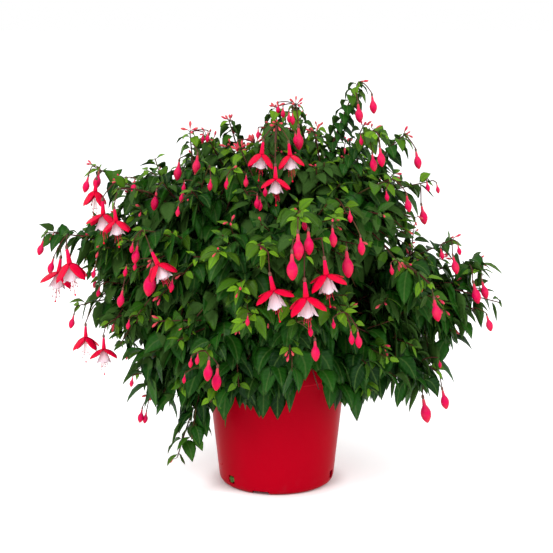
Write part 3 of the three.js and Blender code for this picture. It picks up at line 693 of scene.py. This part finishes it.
def add_sepal(gathered, flower, turn, spread, chance):
    """A sepal that leaves the tube's lip at a turn, spreads, and curls at its tip."""
    points, faces = sepal_pattern
    across, along, depth = points.T
    curl = 0.15 + 0.35 * next(chance)
    start = np.array([2.3, TUBE_LENGTH - 0.4])
    bend = start + 0.42 * SEPAL_LENGTH * np.array([math.sin(spread + 0.1), math.cos(spread + 0.1)])
    end = start + SEPAL_LENGTH * np.array([math.sin(spread), math.cos(spread)])
    end += curl * 3 * np.array([math.cos(spread), -math.sin(spread)])
    share = along[:, None]
    spine = (1 - share) ** 2 * start + 2 * share * (1 - share) * bend + share ** 2 * end
    run = (1 - share) * (bend - start) + share * (end - bend)
    run /= np.linalg.norm(run, axis=1)[:, None]
    rise = np.stack([run[:, 1], -run[:, 0]], axis=1)
    cup = 0.9 * across ** 2 * (1 - along) - 0.4 * across ** 2
    out, down = (spine + rise * (depth + cup)[:, None]).T
    aside = across * SEPAL_WIDTH / 2
    radius, swing = np.hypot(out, aside), np.arctan2(aside, out)
    gathered.add(flower.at(radius, turn + swing, down), faces, RED,
                 {"along": 0.45 + 0.55 * along, "across": across})


def add_tube(gathered, flower):
    """The red tube with the dark ovary on top of it."""
    points, faces = tube_pattern
    x, y, z = points.T
    along = np.clip(z / TUBE_LENGTH, 0, 1) * 0.5
    across = np.cos(4 * np.arctan2(y, x))
    looks = [OVARY_GREEN if max(points[corner][2] for corner in face) < -0.5 else RED for face in faces]
    gathered.add(flower.set_in(points), faces, looks, {"along": along, "across": across})


def thread(gathered, points, radii, look, marks):
    """A thin round thread with flat ends."""
    sides = 4
    rings, faces = [], []
    for number, (point, radius) in enumerate(zip(points, radii)):
        before, after = points[max(number - 1, 0)], points[min(number + 1, len(points) - 1)]
        along = unit(after - before)
        across = unit(np.cross(along, [0.3, 0.9, 0.2]))
        other = np.cross(along, across)
        for side in range(sides):
            turn = 2 * math.pi * side / sides
            rings.append(point + radius * (across * math.cos(turn) + other * math.sin(turn)))
    for number in range(len(points) - 1):
        for side in range(sides):
            low, high = number * sides, (number + 1) * sides
            beside = (side + 1) % sides
            faces.append((low + side, low + beside, high + beside, high + side))
    last = (len(points) - 1) * sides
    faces.append(tuple(reversed(range(sides))))
    faces.append(tuple(range(last, last + sides)))
    gathered.add(np.array(rings), faces, look, marks)


def red_flower(name, flower, spread_degrees, seed):
    gathered = Gathered()
    chance = draws(seed)
    spread = math.radians(spread_degrees)
    add_tube(gathered, flower)
    turns = [(0.25 * (side + 1) * math.pi + 0.1 * (next(chance) - 0.5), spread + 0.3 * (next(chance) - 0.5))
             for side in (0, 2, 4, 6)]
    for turn, lean in turns:
        add_sepal(gathered, flower, turn, lean, chance)
    heights = np.linspace(11, STYLE_LENGTH - 2, 8)
    style = [flower.at(0.25 * math.sin(height / 9), 1.0, height) for height in heights]
    thread(gathered, style, [0.34 * flower.size] * 8, RED, {"along": 0.9, "across": 0.0})
    stigma = [flower.at(0, 0, STYLE_LENGTH + step) for step in (-2.6, -2.0, -1.0, -0.3, 0)]
    widths = [width * flower.size for width in (0.3, 0.9, 1.15, 0.8, 0.1)]
    thread(gathered, stigma, widths, RED, {"along": 0.9, "across": 0.3})
    anther, anther_faces = anther_pattern
    for number in range(STAMENS):
        turn = 2 * math.pi * number / STAMENS + 0.5 * next(chance)
        reach = 30 + 10 * next(chance)
        line = [flower.at(0.8 + 3.4 * share ** 1.4, turn, 13 + (reach - 13) * share)
                for share in np.linspace(0, 1, 6)]
        thread(gathered, line, [0.22 * flower.size] * 6, RED, {"along": 0.8, "across": 0.0})
        gathered.add(line[-1] + flower.size * anther, anther_faces, ANTHER, {"along": 1.0, "across": 0.0})
    return gathered.piece(name, [petal_red, ovary_dark, anther_dark])


def white_bell(name, flower, seed):
    """Four broad petals, each lapped over the next, so that the bell's lip waves."""
    gathered = Gathered()
    chance = draws(seed)
    points, faces = petal_pattern
    across, along, depth = points.T
    for number in range(4):
        turn = 0.5 * math.pi * number + 0.15 * (next(chance) - 0.5)
        reach = BELL_LENGTH * (0.93 + 0.07 * next(chance))
        swing = 0.98 * across
        lip = np.clip(along - 0.5, 0, 1) / 0.5
        waves = lip * (0.7 * np.sin(5.2 * across + 3 * next(chance)) + 0.6 * np.sin(8 * across + number))
        flare = 2.4 + 6.6 * along ** 0.85
        lap = 0.6 * across
        radius = flare + waves + lap * (0.3 + 0.7 * along) - 0.3 + depth * 0.5
        down = TUBE_LENGTH + 0.4 + reach * (along - 0.16 * along ** 3 * across ** 2) + 0.3 * waves
        marks = {"along": along, "across": across}
        gathered.add(flower.at(radius, turn + swing, down), faces, 0, marks)
    return gathered.piece(name, [bell_white])


flowers = {}
for number, (name, (top, lean, size, spread, has_bell)) in enumerate(BLOOMS.items()):
    flower = Flower(top, lean, size)
    flowers[name] = flower
    red = red_flower(f"{name}_red_flower", flower, spread, 500 + number)
    belongs(red, "petals_red", f"bloom_{name}_red")
    if has_bell:
        bell = white_bell(f"{name}_white_bell", flower, 700 + number)
        belongs(bell, "petals_white", f"bloom_{name}_white")

# Leafy stems: soft red-brown shoots with opposite pairs of pointed leaves, and
# closed buds that hang on thin stalks. Each piece is one stem of the bush with
# all that grows on it, and keeps to the line of its solid.
BUSH_CENTRE = np.array([0.0, 0.0, 190.0])
SIDE_SHARES = [0.32, 0.47, 0.62]
LEAF_LENGTH = 42
LEADER_RADIUS, SIDE_RADIUS, BRANCH_RADIUS, TIP_RADIUS = 1.9, 1.3, 1.2, 0.55
LEAF_DARK = (0.0022, 0.020, 0.002, 1)
LEAF_GREEN = (0.0095, 0.060, 0.0035, 1)
LEAF_YOUNG = (0.12, 0.26, 0.008, 1)
LEAF_UNDER = (0.03, 0.075, 0.012, 1)
LEAF_RIB = (0.05, 0.10, 0.02, 1)
STEM_BROWN = (0.06, 0.014, 0.010, 1)
STEM_GREEN = (0.07, 0.06, 0.014, 1)
BUD_PINK = (0.58, 0.002, 0.075, 1)
BUD_RED = (0.55, 0.0, 0.036, 1)
BUD_SALMON = (0.50, 0.075, 0.07, 1)

# How far the buds' axes lean outwards for each millimetre from the pot's axis
BUD_SPLAY = 0.0014

# The top of each bud in millimetres and its size: first those that the solids
# have too, then the smaller ones
BUDS = [
    [18, -176, 279, 0.95], [27, -166, 279, 0.85], [13, -183, 263, 0.95], [61, -134, 257, 1],
    [48, -152, 279, 0.7], [73, -138, 268, 0.65], [20, -56, 357, 0.85], [89, -22, 383, 0.7],
    [76, -22, 376, 0.75], [92, -92, 342, 0.72], [86, -84, 335, 0.65], [131, -20, 331, 0.72],
    [-72, -62, 332, 0.72], [-90, -44, 324, 0.74], [-175, -40, 309, 0.64], [-166, -28, 313, 0.72],
    [-110, -62, 298, 0.72], [136, -32, 281, 0.76], [119, -66, 295, 0.65], [165, -46, 235, 0.72],
    [187, -28, 206, 0.85], [197, -16, 205, 0.74], [142, -102, 206, 0.85], [200, -34, 175, 0.66],
    [139, -50, 99, 1], [158, -44, 105, 0.8], [-222, -20, 245, 0.62], [-209, -44, 232, 0.62],
    [-125, -96, 254, 0.7], [-111, -105, 237, 1.1], [-139, -98, 213, 0.66], [70, -166, 190, 0.6],
    [33, -172, 184, 0.74], [-59, -152, 162, 0.78], [-52, -140, 152, 0.85], [-50, 124, 300, 0.8],
    [-126, 108, 270, 0.9], [22, 178, 216, 0.8], [140, 124, 178, 0.9], [-92, 154, 226, 0.9],
    [-108, 146, 138, 0.8],
]
SMALL_BUDS = [
    [-75, -52, 313, 0.45], [-27, -98, 317, 0.45], [-44, -98, 315, 0.45], [-129, -60, 308, 0.5],
    [-59, -92, 313, 0.45], [-88, -68, 308, 0.4], [140, -30, 303, 0.42], [151, -24, 299, 0.38],
    [1, -120, 310, 0.42], [-85, -86, 300, 0.4], [97, -86, 298, 0.4], [7, -142, 304, 0.5],
    [12, -142, 301, 0.45], [-95, -98, 283, 0.4], [67, -142, 292, 0.45], [24, -152, 288, 0.5],
    [150, -52, 240, 0.45], [-129, -100, 256, 0.4], [-213, -14, 250, 0.4], [170, -42, 244, 0.42],
    [-135, -92, 237, 0.35], [103, -100, 236, 0.4], [-136, -92, 233, 0.4], [-94, -128, 227, 0.45],
    [-172, -66, 210, 0.42], [-176, -62, 204, 0.4], [140, -84, 208, 0.45], [47, -168, 232, 0.45],
    [-192, -44, 176, 0.56], [-25, -168, 204, 0.38], [-134, -96, 184, 0.38], [45, -172, 200, 0.35],
    [66, -172, 185, 0.5], [-75, -146, 161, 0.38], [-69, -148, 165, 0.4], [29, -174, 197, 0.42],
    [-133, -36, 77, 0.58], [-126, -30, 77, 0.5], [-142, -70, 123, 0.4], [-93, -118, 135, 0.35],
    [159, -30, 131, 0.38], [-53, -40, 351, 0.4], [-19, -70, 356, 0.38], [37, -80, 349, 0.42],
    [76, -74, 350, 0.38], [-43, -60, 344, 0.38], [-68, -36, 348, 0.38], [-11, -30, 377, 0.38],
    [6, -40, 373, 0.42], [13, -60, 366, 0.45], [5, -66, 366, 0.42], [-30, 150, 306, 0.45],
    [66, 120, 296, 0.45], [112, 96, 262, 0.42], [-112, 112, 284, 0.42], [-62, 172, 232, 0.4],
    [4, 186, 196, 0.42], [92, 162, 196, 0.4], [150, 84, 206, 0.42], [-158, 74, 222, 0.4],
    [-84, 160, 168, 0.4], [36, 100, 338, 0.42], [-30, 92, 342, 0.42], [182, 40, 196, 0.4],
    [-186, 40, 200, 0.42],
]


def leaf_look():
    leaf = Finish("leaf", {"IOR": 1.42, "Specular IOR Level": 0.1})
    along, across = leaf.marked("along"), leaf.marked("across")
    age, tint, under = leaf.marked("age"), leaf.marked("tint"), leaf.marked("under")
    aside = abs(across)
    side_veins = (along * 7 - aside * 1.5).zigzag(0.5) * 2
    rib = 1 - leaf.rising(aside, 0.03, 0.12)
    vein = (1 - leaf.rising(side_veins, 0.05, 0.22)) * (1 - leaf.rising(aside, 0.75, 0.95))
    patches = leaf.noise(120, 4)
    grown = leaf.blended(leaf.rising(tint * 0.7 + patches * 0.5, 0.25, 0.85), LEAF_DARK, LEAF_GREEN)
    upper = leaf.blended(leaf.rising(age, 0.05, 0.75), LEAF_YOUNG, grown)
    ribbed = leaf.blended(0.6 * rib + 0.18 * vein, upper, LEAF_RIB)
    leaf.fill(leaf.shader, {
        "Base Color": leaf.blended(under, ribbed, LEAF_UNDER),
        "Roughness": 0.34 + 0.12 * patches + 0.25 * under,
        "Normal": leaf.raised(side_veins * 0.6 + aside * 0.4 - rib * 0.5, 0.35, 0.0006),
    })
    return leaf.material


def stem_look():
    stem = Finish("young_stem", {"IOR": 1.4, "Specular IOR Level": 0.2})
    streaks = stem.noise(60, 4)
    stem.fill(stem.shader, {
        "Base Color": stem.blended(stem.rising(streaks, 0.45, 0.75), STEM_BROWN, STEM_GREEN),
        "Roughness": 0.45 + 0.15 * streaks,
        "Normal": stem.raised(stem.noise(900, 2), 0.3, 0.0003),
    })
    return stem.material


bud_skin = petal_look("bud_skin", (BUD_SALMON, BUD_PINK, BUD_RED), 0.3)
young_skin = mottled("young_bud", {"IOR": 1.4, "Specular IOR Level": 0.2}, grain=(500, 3), limits=(0.4, 0.7),
                     colours=(BUD_SALMON, BUD_PINK), roughness=(0.4, 0.15), relief=(0.3, 0.0002))
stem_looks = [leaf_look(), bud_skin, young_skin, stem_look(), ovary_dark]
LEAF, BUD, YOUNG_BUD, STEM, OVARY = range(5)

leaf_rows = [(0, 0.05), (0.13, 0.07), (0.24, 0.62), (0.42, 1), (0.64, 0.88), (0.85, 0.42), (1, 0)]
leaf_pattern = blade("leaf_pattern", leaf_rows, 4, 0.5)
leaf_under = [float(np.mean([leaf_pattern[0][corner][2] for corner in face]) < 0)
              for face in leaf_pattern[1]]
BUD_LENGTH = 28
bud_rows = [
    (0.08, -0.6), (0.9, 0), (1.5, 1.4), (1.5, 3), (1.1, 4.2), (1.5, 5.6), (1.7, 8), (2.0, 10.5), (3.1, 12.4),
    (4.4, 14.8), (5.1, 17.6), (5.0, 20.2), (4.2, 23), (2.8, 25.5), (1.3, 27.3), (0.08, BUD_LENGTH),
]
bud_pattern = taken(turned("bud_pattern", bud_rows, 10))
bud_looks = [OVARY if max(bud_pattern[0][corner][2] for corner in face) < 4.5 else BUD
             for face in bud_pattern[1]]
young_bud_rows = [(0.05, -0.5), (0.5, 0.2), (0.65, 1.6), (1.2, 3.2), (1.35, 4.6), (0.9, 6.2), (0.05, 7.2)]
young_bud_pattern = taken(turned("young_bud_pattern", young_bud_rows, 6))

# How many shoots end at the outside of the crown, inside it, and round the rim
OUTER_TIPS, INNER_TIPS, SKIRT_TIPS = 570, 90, 72

# Low shoots at the sides, shoots under the two arms and one over the pot's
# left: each one's tip, and the youngest pair of leaves that it still has
HANGING_TIPS = [
    [112, -62, 120, 3], [126, -54, 114, 3], [140, -46, 110, 3], [98, -70, 124, 3], [134, -20, 114, 3],
    [150, -12, 118, 3], [-108, -44, 100, 3], [-122, -20, 98, 3], [-94, -56, 98, 3], [-116, 10, 104, 3],
    [110, 40, 120, 3], [-108, 52, 118, 3], [186, -24, 192, 2], [176, -28, 178, 2], [164, -24, 170, 2],
    [192, -22, 174, 2], [180, -18, 163, 2], [168, -30, 156, 2], [-80, -74, 62, 1],
    [-158, -30, 204, 0], [-172, -34, 184, 0], [-162, -40, 164, 0], [-148, -48, 148, 0], [-180, -20, 210, 0],
]

# Where the crown falls in between its arms and shoulders
CROWN_HOLLOWS = [
    [112, -20, 314], [128, 0, 246], [120, -60, 262], [136, 40, 250], [-94, -14, 314], [46, -10, 340],
    [50, -60, 326],
]
all_tips = [np.array(tip[:3], float) for tips in [*STEMS.values(), CROWN_HOLLOWS] for tip in tips]

# The rim shows through one gap at the front: its middle and its half width
RIM_GAP = (30, 8)


def crown_reach(direction):
    """How far the crown reaches from the bush's centre, read from the tips that lie that way."""
    offsets = [tip - BUSH_CENTRE for tip in all_tips]
    weights = [math.exp(30 * (float(direction @ unit(offset)) - 1)) for offset in offsets]
    return sum(weight * np.linalg.norm(offset) for weight, offset in zip(weights, offsets)) / sum(weights)


def spread_round(count, scatter, depth, more_depth, seed):
    """Evenly spread directions from the bush's centre, a little scattered, each with a depth."""
    chance = draws(seed)
    for number in range(count):
        height = 1 - 2 * (number + 0.5) / count
        turn = number * math.pi * (3 - math.sqrt(5))
        level = math.sqrt(1 - height * height)
        shift = np.array([next(chance), next(chance), next(chance)]) - 0.5
        direction = np.array([level * math.cos(turn), level * math.sin(turn), height]) + scatter * shift
        yield unit(direction), depth + more_depth * next(chance)


def side_line(leader, share, tip):
    start = leader.at(share)
    reach = np.linalg.norm(tip - start)
    control = start + leader.along(share) * 0.4 * reach + UP * 0.12 * reach
    return Bow(start, control, tip)


def branched(leaders, tip, seed, pairs, youngest):
    """A side shoot to a tip, from a leader that passes some way further in. At the crown it ends upright."""
    way_in, middle_share = 80, 0.42
    within = np.linalg.norm(tip - BUSH_CENTRE)
    starts = []
    for name, leader in leaders.items():
        for share in np.linspace(0.22, 0.62, 9):
            start = leader.at(share)
            unfit = abs(np.linalg.norm(start - tip) - way_in) + 60 * abs(share - middle_share)
            if np.linalg.norm(start - BUSH_CENTRE) < within - 20:
                starts.append((unfit, name, share))
    if not starts:
        return []
    _, name, share = min(starts)
    line = side_line(leaders[name], share, tip)
    upright = 0.6 * np.clip((tip[2] - 240) / 80, 0, 1)
    below = tip - UP * 0.4 * line.length
    line = Bow(line.start, line.control + (below - line.control) * upright, tip)
    return [(name, line, 0, BRANCH_RADIUS, seed, pairs, youngest)]


def outer_shoots(leaders):
    """Shoots to the outside of the crown. It is thinner where it reaches less far, and open at the pot."""
    shoots = []
    chance = draws(8181)
    directions = spread_round(OUTER_TIPS, scatter=0.16, depth=0.76, more_depth=0.18, seed=4242)
    for number, (direction, depth) in enumerate(directions):
        reach = crown_reach(direction) * (1.07 if next(chance) < 0.2 else 1)
        tip = BUSH_CENTRE + direction * reach * depth
        is_low = direction[2] < -0.6 or (tip[2] < 125 and math.hypot(tip[0], tip[1]) < 100)
        youngest = 3 if direction[2] < -0.15 and next(chance) < 0.6 else 0
        if next(chance) < (reach / 205) ** 2 and not is_low:
            shoots += branched(leaders, tip, 3000 + number, 9 - youngest // 2, youngest)
    return shoots


def inner_shoots(leaders):
    """Shoots inside the crown, above the pot."""
    shoots = []
    directions = spread_round(INNER_TIPS, scatter=0.3, depth=0.45, more_depth=0.3, seed=5151)
    for number, (direction, depth) in enumerate(directions):
        tip = BUSH_CENTRE + direction * crown_reach(direction) * depth
        if tip[2] > 150:
            shoots += branched(leaders, tip, 5000 + number, 6, 3)
    return shoots


def skirt_shoots(leaders):
    """Shoots that end round the rim, beside its gap."""
    shoots = []
    chance = draws(6262)
    gap_middle, gap_half = RIM_GAP
    for number in range(SKIRT_TIPS):
        turn = 2 * math.pi * (number + 0.6 * next(chance)) / SKIRT_TIPS
        out, height = 78 + 22 * next(chance), 110 + 32 * next(chance)
        tip = np.array([out * math.cos(turn), out * math.sin(turn), height])
        if tip[1] > 0 or abs(tip[0] - gap_middle) > gap_half + 6:
            shoots += branched(leaders, tip, 7000 + number, 4, 6)
    return shoots


def grown_shoots():
    """Every shoot: its stem, line, first share, radius, seed, pairs of leaves and youngest pair."""
    shoots = []
    leaders = {}
    for index, (name, tips) in enumerate(STEMS.items()):
        leaders[name] = leader = leader_line(*tips[0])
        seed, youngest = 1000 + 10 * index, int(name == "trailing")
        shoots.append((name, leader, LIMB_SHARE, LEADER_RADIUS, seed, 10, youngest))
        for order, tip in enumerate(tips[1:]):
            line = side_line(leader, SIDE_SHARES[order], np.array(tip, float))
            shoots.append((name, line, 0, SIDE_RADIUS, seed + 1 + order, 9, 0))
    shoots += outer_shoots(leaders) + inner_shoots(leaders) + skirt_shoots(leaders)
    for number, (x, y, z, youngest) in enumerate(HANGING_TIPS):
        shoots += branched(leaders, np.array([x, y, z], float), 8000 + number, 5, youngest)
    return shoots


def pair_distance(pair):
    """How far a pair of leaves stands from the shoot's tip."""
    return 3 + 5.5 * pair + 0.9 * min(pair, 5) * pair


def crowding(line):
    """Shoots that end high on the crown have smaller leaves, closer together."""
    return 1 - 0.42 * float(np.clip((line.end[2] - 300) / 50, 0, 1))


def leaf_length(pair, crowded):
    return min(LEAF_LENGTH * crowded, 14 + 7.5 * pair)


def leaf_points(root, radial, along, length, droop, twist, ripple):
    """A copy of the leaf pattern, bent along its rib as it hangs, its face turned a little its own way."""
    across, share, depth = leaf_pattern[0].T
    outward = unit(root - BUSH_CENTRE)
    out = unit(radial * [0.9, 0.9, 0.5] + along * 0.3 + UP * 0.1)
    fall = unit(out * (1 - droop) - UP * droop + outward * 0.2)
    bend = root + out * 0.4 * length
    tip = bend + fall * 0.6 * length
    run = unit(tip - root)
    level = unit(outward * [1, 1, outward[2] > 0])
    face = level * 0.6 + UP * 0.3 + 0.4 * np.array([math.cos(ripple), math.sin(ripple), 0])
    side = unit(np.cross(face, run))
    side = side * math.cos(twist) + np.cross(run, side) * math.sin(twist)
    share = share[:, None]
    rib = (1 - share) ** 2 * root + 2 * share * (1 - share) * bend + share ** 2 * tip
    ahead = (1 - share) * (bend - root) + share * (tip - bend)
    normal = np.cross(ahead, side)
    normal /= np.linalg.norm(normal, axis=1)[:, None]
    half = (0.2 + 0.04 * min(1, length / LEAF_LENGTH)) * length
    wave = 0.05 * np.sin(9 * share[:, 0] + ripple) * across ** 2
    lift = (0.26 * np.abs(across) + wave) * half
    return rib - side * (across * half)[:, None] + normal * (lift + depth)[:, None]


# What bounds the leaves and young buds: the box of the solids, points down the axis
# of each flower and bud with their widths, and the pot with the gap at its rim
box_low, box_high = (np.array(corner) / MM for corner in cad_box)
WALL_CLEAR, WALL_INSIDE = 71.5, 62
RIM_CLEAR, COLLAR_CLEAR, GAP_CLEAR = 131, 118, 136
flower_marks = np.array([flower.top + flower.axis * flower.size * down
                         for flower in flowers.values() for down in (0, 12, 22, 32, 44)])
flower_widths = np.array([width for _ in flowers for width in (5, 12, 17, 13, 7)])
bud_marks = np.array([[x, y, z - BUD_LENGTH * size * share]
                      for x, y, z, size in BUDS for share in (0.25, 0.65, 0.95)])
bud_widths = np.array([width for _ in BUDS for width in (3, 7, 5)])
kept_marks = np.concatenate([flower_marks, bud_marks])
kept_widths = np.concatenate([flower_widths, bud_widths])
kept_out = kept_marks - BUSH_CENTRE
kept_out /= np.linalg.norm(kept_out, axis=1)[:, None]


def has_room(points):
    """True if a leaf or young bud stays in the box, off the pot and out from before the flowers."""
    if (points < box_low).any() or (points > box_high).any():
        return False
    x, y, z = points.T
    radius = np.hypot(x, y)
    if ((z < RIM_CLEAR) & (radius < WALL_CLEAR) & (radius > WALL_INSIDE)).any():
        return False
    if ((z < COLLAR_CLEAR) & (radius < WALL_CLEAR)).any():
        return False
    gap_middle, gap_half = RIM_GAP
    if ((y < -60) & (z < GAP_CLEAR) & (abs(x - gap_middle) < gap_half)).any():
        return False
    gap = points[::3, None, :] - kept_marks[None, :, :]
    before = (gap * kept_out).sum(axis=2)
    beside = np.linalg.norm(gap - before[..., None] * kept_out, axis=2)
    return not ((beside < kept_widths) & (before > -0.5 * kept_widths)).any()


# Where a leaf has no room, it is tried again smaller, and hanging more or less
LEAF_TRIES = (1, 0), (0.95, 0.3), (0.85, -0.25), (0.7, 0.5)


def add_leaves(gathered, line, first_share, seed, pairs, youngest):
    """Crossed pairs of leaves along a shoot, the youngest and smallest at its tip."""
    chance = draws(seed)
    phase, fresh = 0.6 * (next(chance) - 0.5), next(chance)
    crowded = crowding(line)
    pattern, faces = leaf_pattern
    for pair in reversed(range(youngest, youngest + round(pairs / crowded))):
        share = 1 - (pair_distance(pair) - pair_distance(youngest) + 2) * crowded / line.length
        if share < first_share + 0.05:
            continue
        along = line.along(share)
        other = np.cross(along, line.across)
        for side in (pair % 2, pair % 2 + 2):
            turn = phase + side * 0.5 * math.pi
            radial = line.across * math.cos(turn) + other * math.sin(turn)
            grown_length = leaf_length(pair, crowded)
            droop = 0.12 + 0.6 * grown_length / LEAF_LENGTH + 0.7 * (1 - crowded) + 0.25 * next(chance)
            twist, ripple, tint = 1.2 * (next(chance) - 0.5), 2 * math.pi * next(chance), next(chance)
            for scale, more in LEAF_TRIES:
                length = grown_length * scale * (0.9 + 0.14 * tint)
                points = leaf_points(line.at(share), radial, along, length, droop + more, twist, ripple)
                if has_room(points):
                    age = min(1.0, 0.06 + 0.4 * fresh * crowded ** 2 + 0.19 * pair * crowded)
                    marks = {"along": pattern[:, 1], "across": pattern[:, 0], "age": age, "tint": tint}
                    gathered.add(points, faces, LEAF, marks)
                    break


def set_down(points, top, axis, size, beside):
    """Places a turned pattern with its start at a point and its axis along a direction."""
    x, y, z = points.T
    across = unit(np.cross(axis, beside))
    return top + size * (np.outer(z, axis) + np.outer(x, across) + np.outer(y, np.cross(axis, across)))


def add_bud(gathered, top, size):
    """A closed bud that hangs from its ovary."""
    points, faces = bud_pattern
    x, y, z = points.T
    axis = unit(np.array([BUD_SPLAY * top[0], BUD_SPLAY * top[1], -1.0]))
    marks = {"along": z / BUD_LENGTH, "across": np.cos(2 * np.arctan2(y, x)), "age": 1, "tint": 0.5}
    gathered.add(set_down(points, top, axis, size, [0.2, 1, 0]), faces, bud_looks, marks)


def add_young_buds(gathered, line, seed):
    """A few young buds in the topmost leaf joint, each on its own short stalk. The crown has the most."""
    chance = draws(seed)
    count = 2 + int(next(chance) * 5) if crowding(line) < 0.8 else int(next(chance) * 7) - 3
    end, along = line.at(1), line.along(1)
    other = np.cross(along, line.across)
    points, faces = young_bud_pattern
    plain = {"along": 0.0, "across": 0.0, "age": 0.0, "tint": 0.5}
    for number in range(count):
        turn = 2 * math.pi * (number + 0.5 * next(chance)) / count
        size = 0.65 + 0.35 * next(chance)
        aside = line.across * math.cos(turn) + other * math.sin(turn)
        base = end + aside * (1.5 + 2 * next(chance)) + along * (1 + 2.5 * next(chance))
        axis = unit(along * 0.9 + aside * 0.6 - UP * 0.8 * next(chance))
        placed = set_down(points, base, axis, size, [0.2, 1, 0.1])
        if has_room(placed):
            gathered.add(placed, faces, YOUNG_BUD, plain)
            stalk_line = [end, end + (base - end) * 0.5 + along * 0.6, base + axis * 0.2]
            thread(gathered, stalk_line, [0.35, 0.3, 0.35], STEM, plain)


def stalk(point, top):
    """A thin stalk that leaves its shoot a little upwards and then hangs."""
    reach = np.linalg.norm(top - point)
    line = Bow(point, point + (top - point) * 0.4 + UP * 0.2 * reach, top)
    return [line.at(share) for share in np.linspace(0, 1, 7)], [TIP_RADIUS] * 7


# A flower or bud further than this from its shoot hangs from a twig, and a
# small bud is drawn up until its stalk is no longer than this
TWIG_FROM, SMALL_STALK = 28, 17

grown = {name: Gathered() for name in STEMS}
strands = {name: [] for name in STEMS}
shoots = grown_shoots()
shoot_points = [(line.at(share), name) for name, line, first, *_ in shoots
                for share in np.linspace(max(first, 0.35), 1, 14)]
carriers = np.array([point for point, _ in shoot_points])


def carrier(top, rise):
    """The nearest point of a shoot that passes above a flower or bud, its stem and how far off it is."""
    away = np.linalg.norm(carriers - top, axis=1) + np.where(carriers[:, 2] < top[2] + rise, 60, 0)
    nearest = int(np.argmin(away))
    return shoot_points[nearest][0], shoot_points[nearest][1], away[nearest]


def hang(top, seed, drop):
    """Hangs a bud or flower from the nearest shoot, or from a leafy twig where that is far off."""
    point, name, away = carrier(top, 0)
    if away > TWIG_FROM:
        end = top + UP * drop + (point - top) * 0.1
        twig = Bow(point, (point + end) / 2 + UP * 0.08 * away, end)
        add_leaves(grown[name], twig, 0, seed, 4, 0)
        strands[name].append(([twig.at(share) for share in np.linspace(0, 1, 8)], [0.9] * 8))
        point = twig.at(0.96)
    strands[name].append(stalk(point, top))
    return name


for name, line, first, radius, seed, pairs, youngest in shoots:
    shares = np.linspace(first, 1, 12)
    radii = [radius + (TIP_RADIUS - radius) * (share - first) / (1 - first) for share in shares]
    strands[name].append(([line.at(share) for share in shares], radii))
    add_leaves(grown[name], line, first, seed, pairs, youngest)
    if youngest < 2:
        add_young_buds(grown[name], line, 977 * seed)
for number, flower in enumerate(flowers.values()):
    hang(flower.top - flower.axis * flower.size * OVARY_LENGTH, 9100 + number, drop=14)
for number, (x, y, z, size) in enumerate(BUDS):
    top = np.array([x, y, z], float)
    add_bud(grown[hang(top, 9200 + number, drop=7)], top, size)
for x, y, z, size in SMALL_BUDS:
    top = np.array([x, y, z], float)
    point, name, away = carrier(top, -6)
    top = point + (top - point) * min(1, SMALL_STALK / away)
    strands[name].append(stalk(point, top))
    add_bud(grown[name], top, size)

for name, gathered in grown.items():
    leaves = gathered.piece(f"{name}_leaves", stem_looks)
    is_leaf = np.array(gathered.looks) == LEAF
    under = np.where(is_leaf, np.resize(leaf_under, len(is_leaf)), 0.0)
    layer = leaves.data.attributes.new("under", "FLOAT", "FACE")
    layer.data.foreach_set("value", under.astype(np.float32))
    stems = rods(f"{name}_shoots", strands[name], stem_looks[STEM])
    select_only(stems, leaves)
    bpy.ops.object.join()
    leaves.name = f"{name}_shoots_and_leaves"
    belongs(leaves, "foliage", f"leafy_stem_{name}")

# The studio: a wide sheet of white paper that glows evenly, with painted shade under and round the pot,
# soft light from all round and above, and a camera a little above the height of the plant.
CAMERA_DISTANCE = 1.45
CAMERA_TILT = math.radians(11)
AIM_HEIGHT = 0.204
FLOOR_SIZE = 30

bpy.ops.object.select_all(action="DESELECT")
bpy.ops.mesh.primitive_plane_add(size=FLOOR_SIZE, location=(0, 0, -0.4 * MM))
floor = bpy.context.object
floor.name = "white_paper"
paper = Finish("white_paper", {"Roughness": 0.9, "Specular IOR Level": 0.1, "Emission Strength": 0.3})
# The paper glows evenly white, but its glow fades to black within 50 to 75 mm of the pot's axis: painted
# shade under and round the pot.
from_pot = paper.node("ShaderNodeVectorMath", {"operation": "LENGTH"}, {0: paper.place()}, 1)
paper.fill(paper.shader, {
    "Base Color": paper.blended(paper.noise(3, 2), (0.94, 0.94, 0.94, 1), (0.97, 0.97, 0.97, 1)),
    "Emission Color": paper.blended(paper.rising(from_pot, 0.05, 0.075), (0, 0, 0, 1), (1, 1, 1, 1)),
})
floor.data.materials.append(paper.material)

world = bpy.data.worlds.new("studio")
bpy.context.scene.world = world
world.use_nodes = True
world.node_tree.nodes["Background"].inputs["Color"].default_value = (1, 1, 1, 1)
world.node_tree.nodes["Background"].inputs["Strength"].default_value = 1.0


def soft_light(name, place, size, watts):
    """A square lamp that faces the middle of the plant."""
    lamp = bpy.data.lights.new(name, "AREA")
    lamp.shape = "SQUARE"
    lamp.size = size
    lamp.energy = watts
    light = bpy.data.objects.new(name, lamp)
    bpy.context.collection.objects.link(light)
    light.location = place
    aim = np.array([0, 0, AIM_HEIGHT]) - np.array(place)
    tilt, turn = math.atan2(math.hypot(aim[0], aim[1]), -aim[2]), math.atan2(aim[0], -aim[1])
    light.rotation_euler = (tilt, 0, turn + math.pi)


soft_light("key_light", (-0.9, -1.3, 1.6), 1.0, 30)
soft_light("fill_light", (1.2, -1.0, 1.0), 1.2, 12)

lens = bpy.data.cameras.new("camera")
lens.sensor_width = 36
lens.lens = 97.1
camera = bpy.data.objects.new("camera", lens)
bpy.context.collection.objects.link(camera)
back, rise = CAMERA_DISTANCE * math.cos(CAMERA_TILT), CAMERA_DISTANCE * math.sin(CAMERA_TILT)
camera.location = (0, -back, AIM_HEIGHT + rise)
camera.rotation_euler = (math.pi / 2 - CAMERA_TILT, 0, 0)
bpy.context.scene.camera = camera
bpy.context.scene.view_settings.view_transform = "Standard"
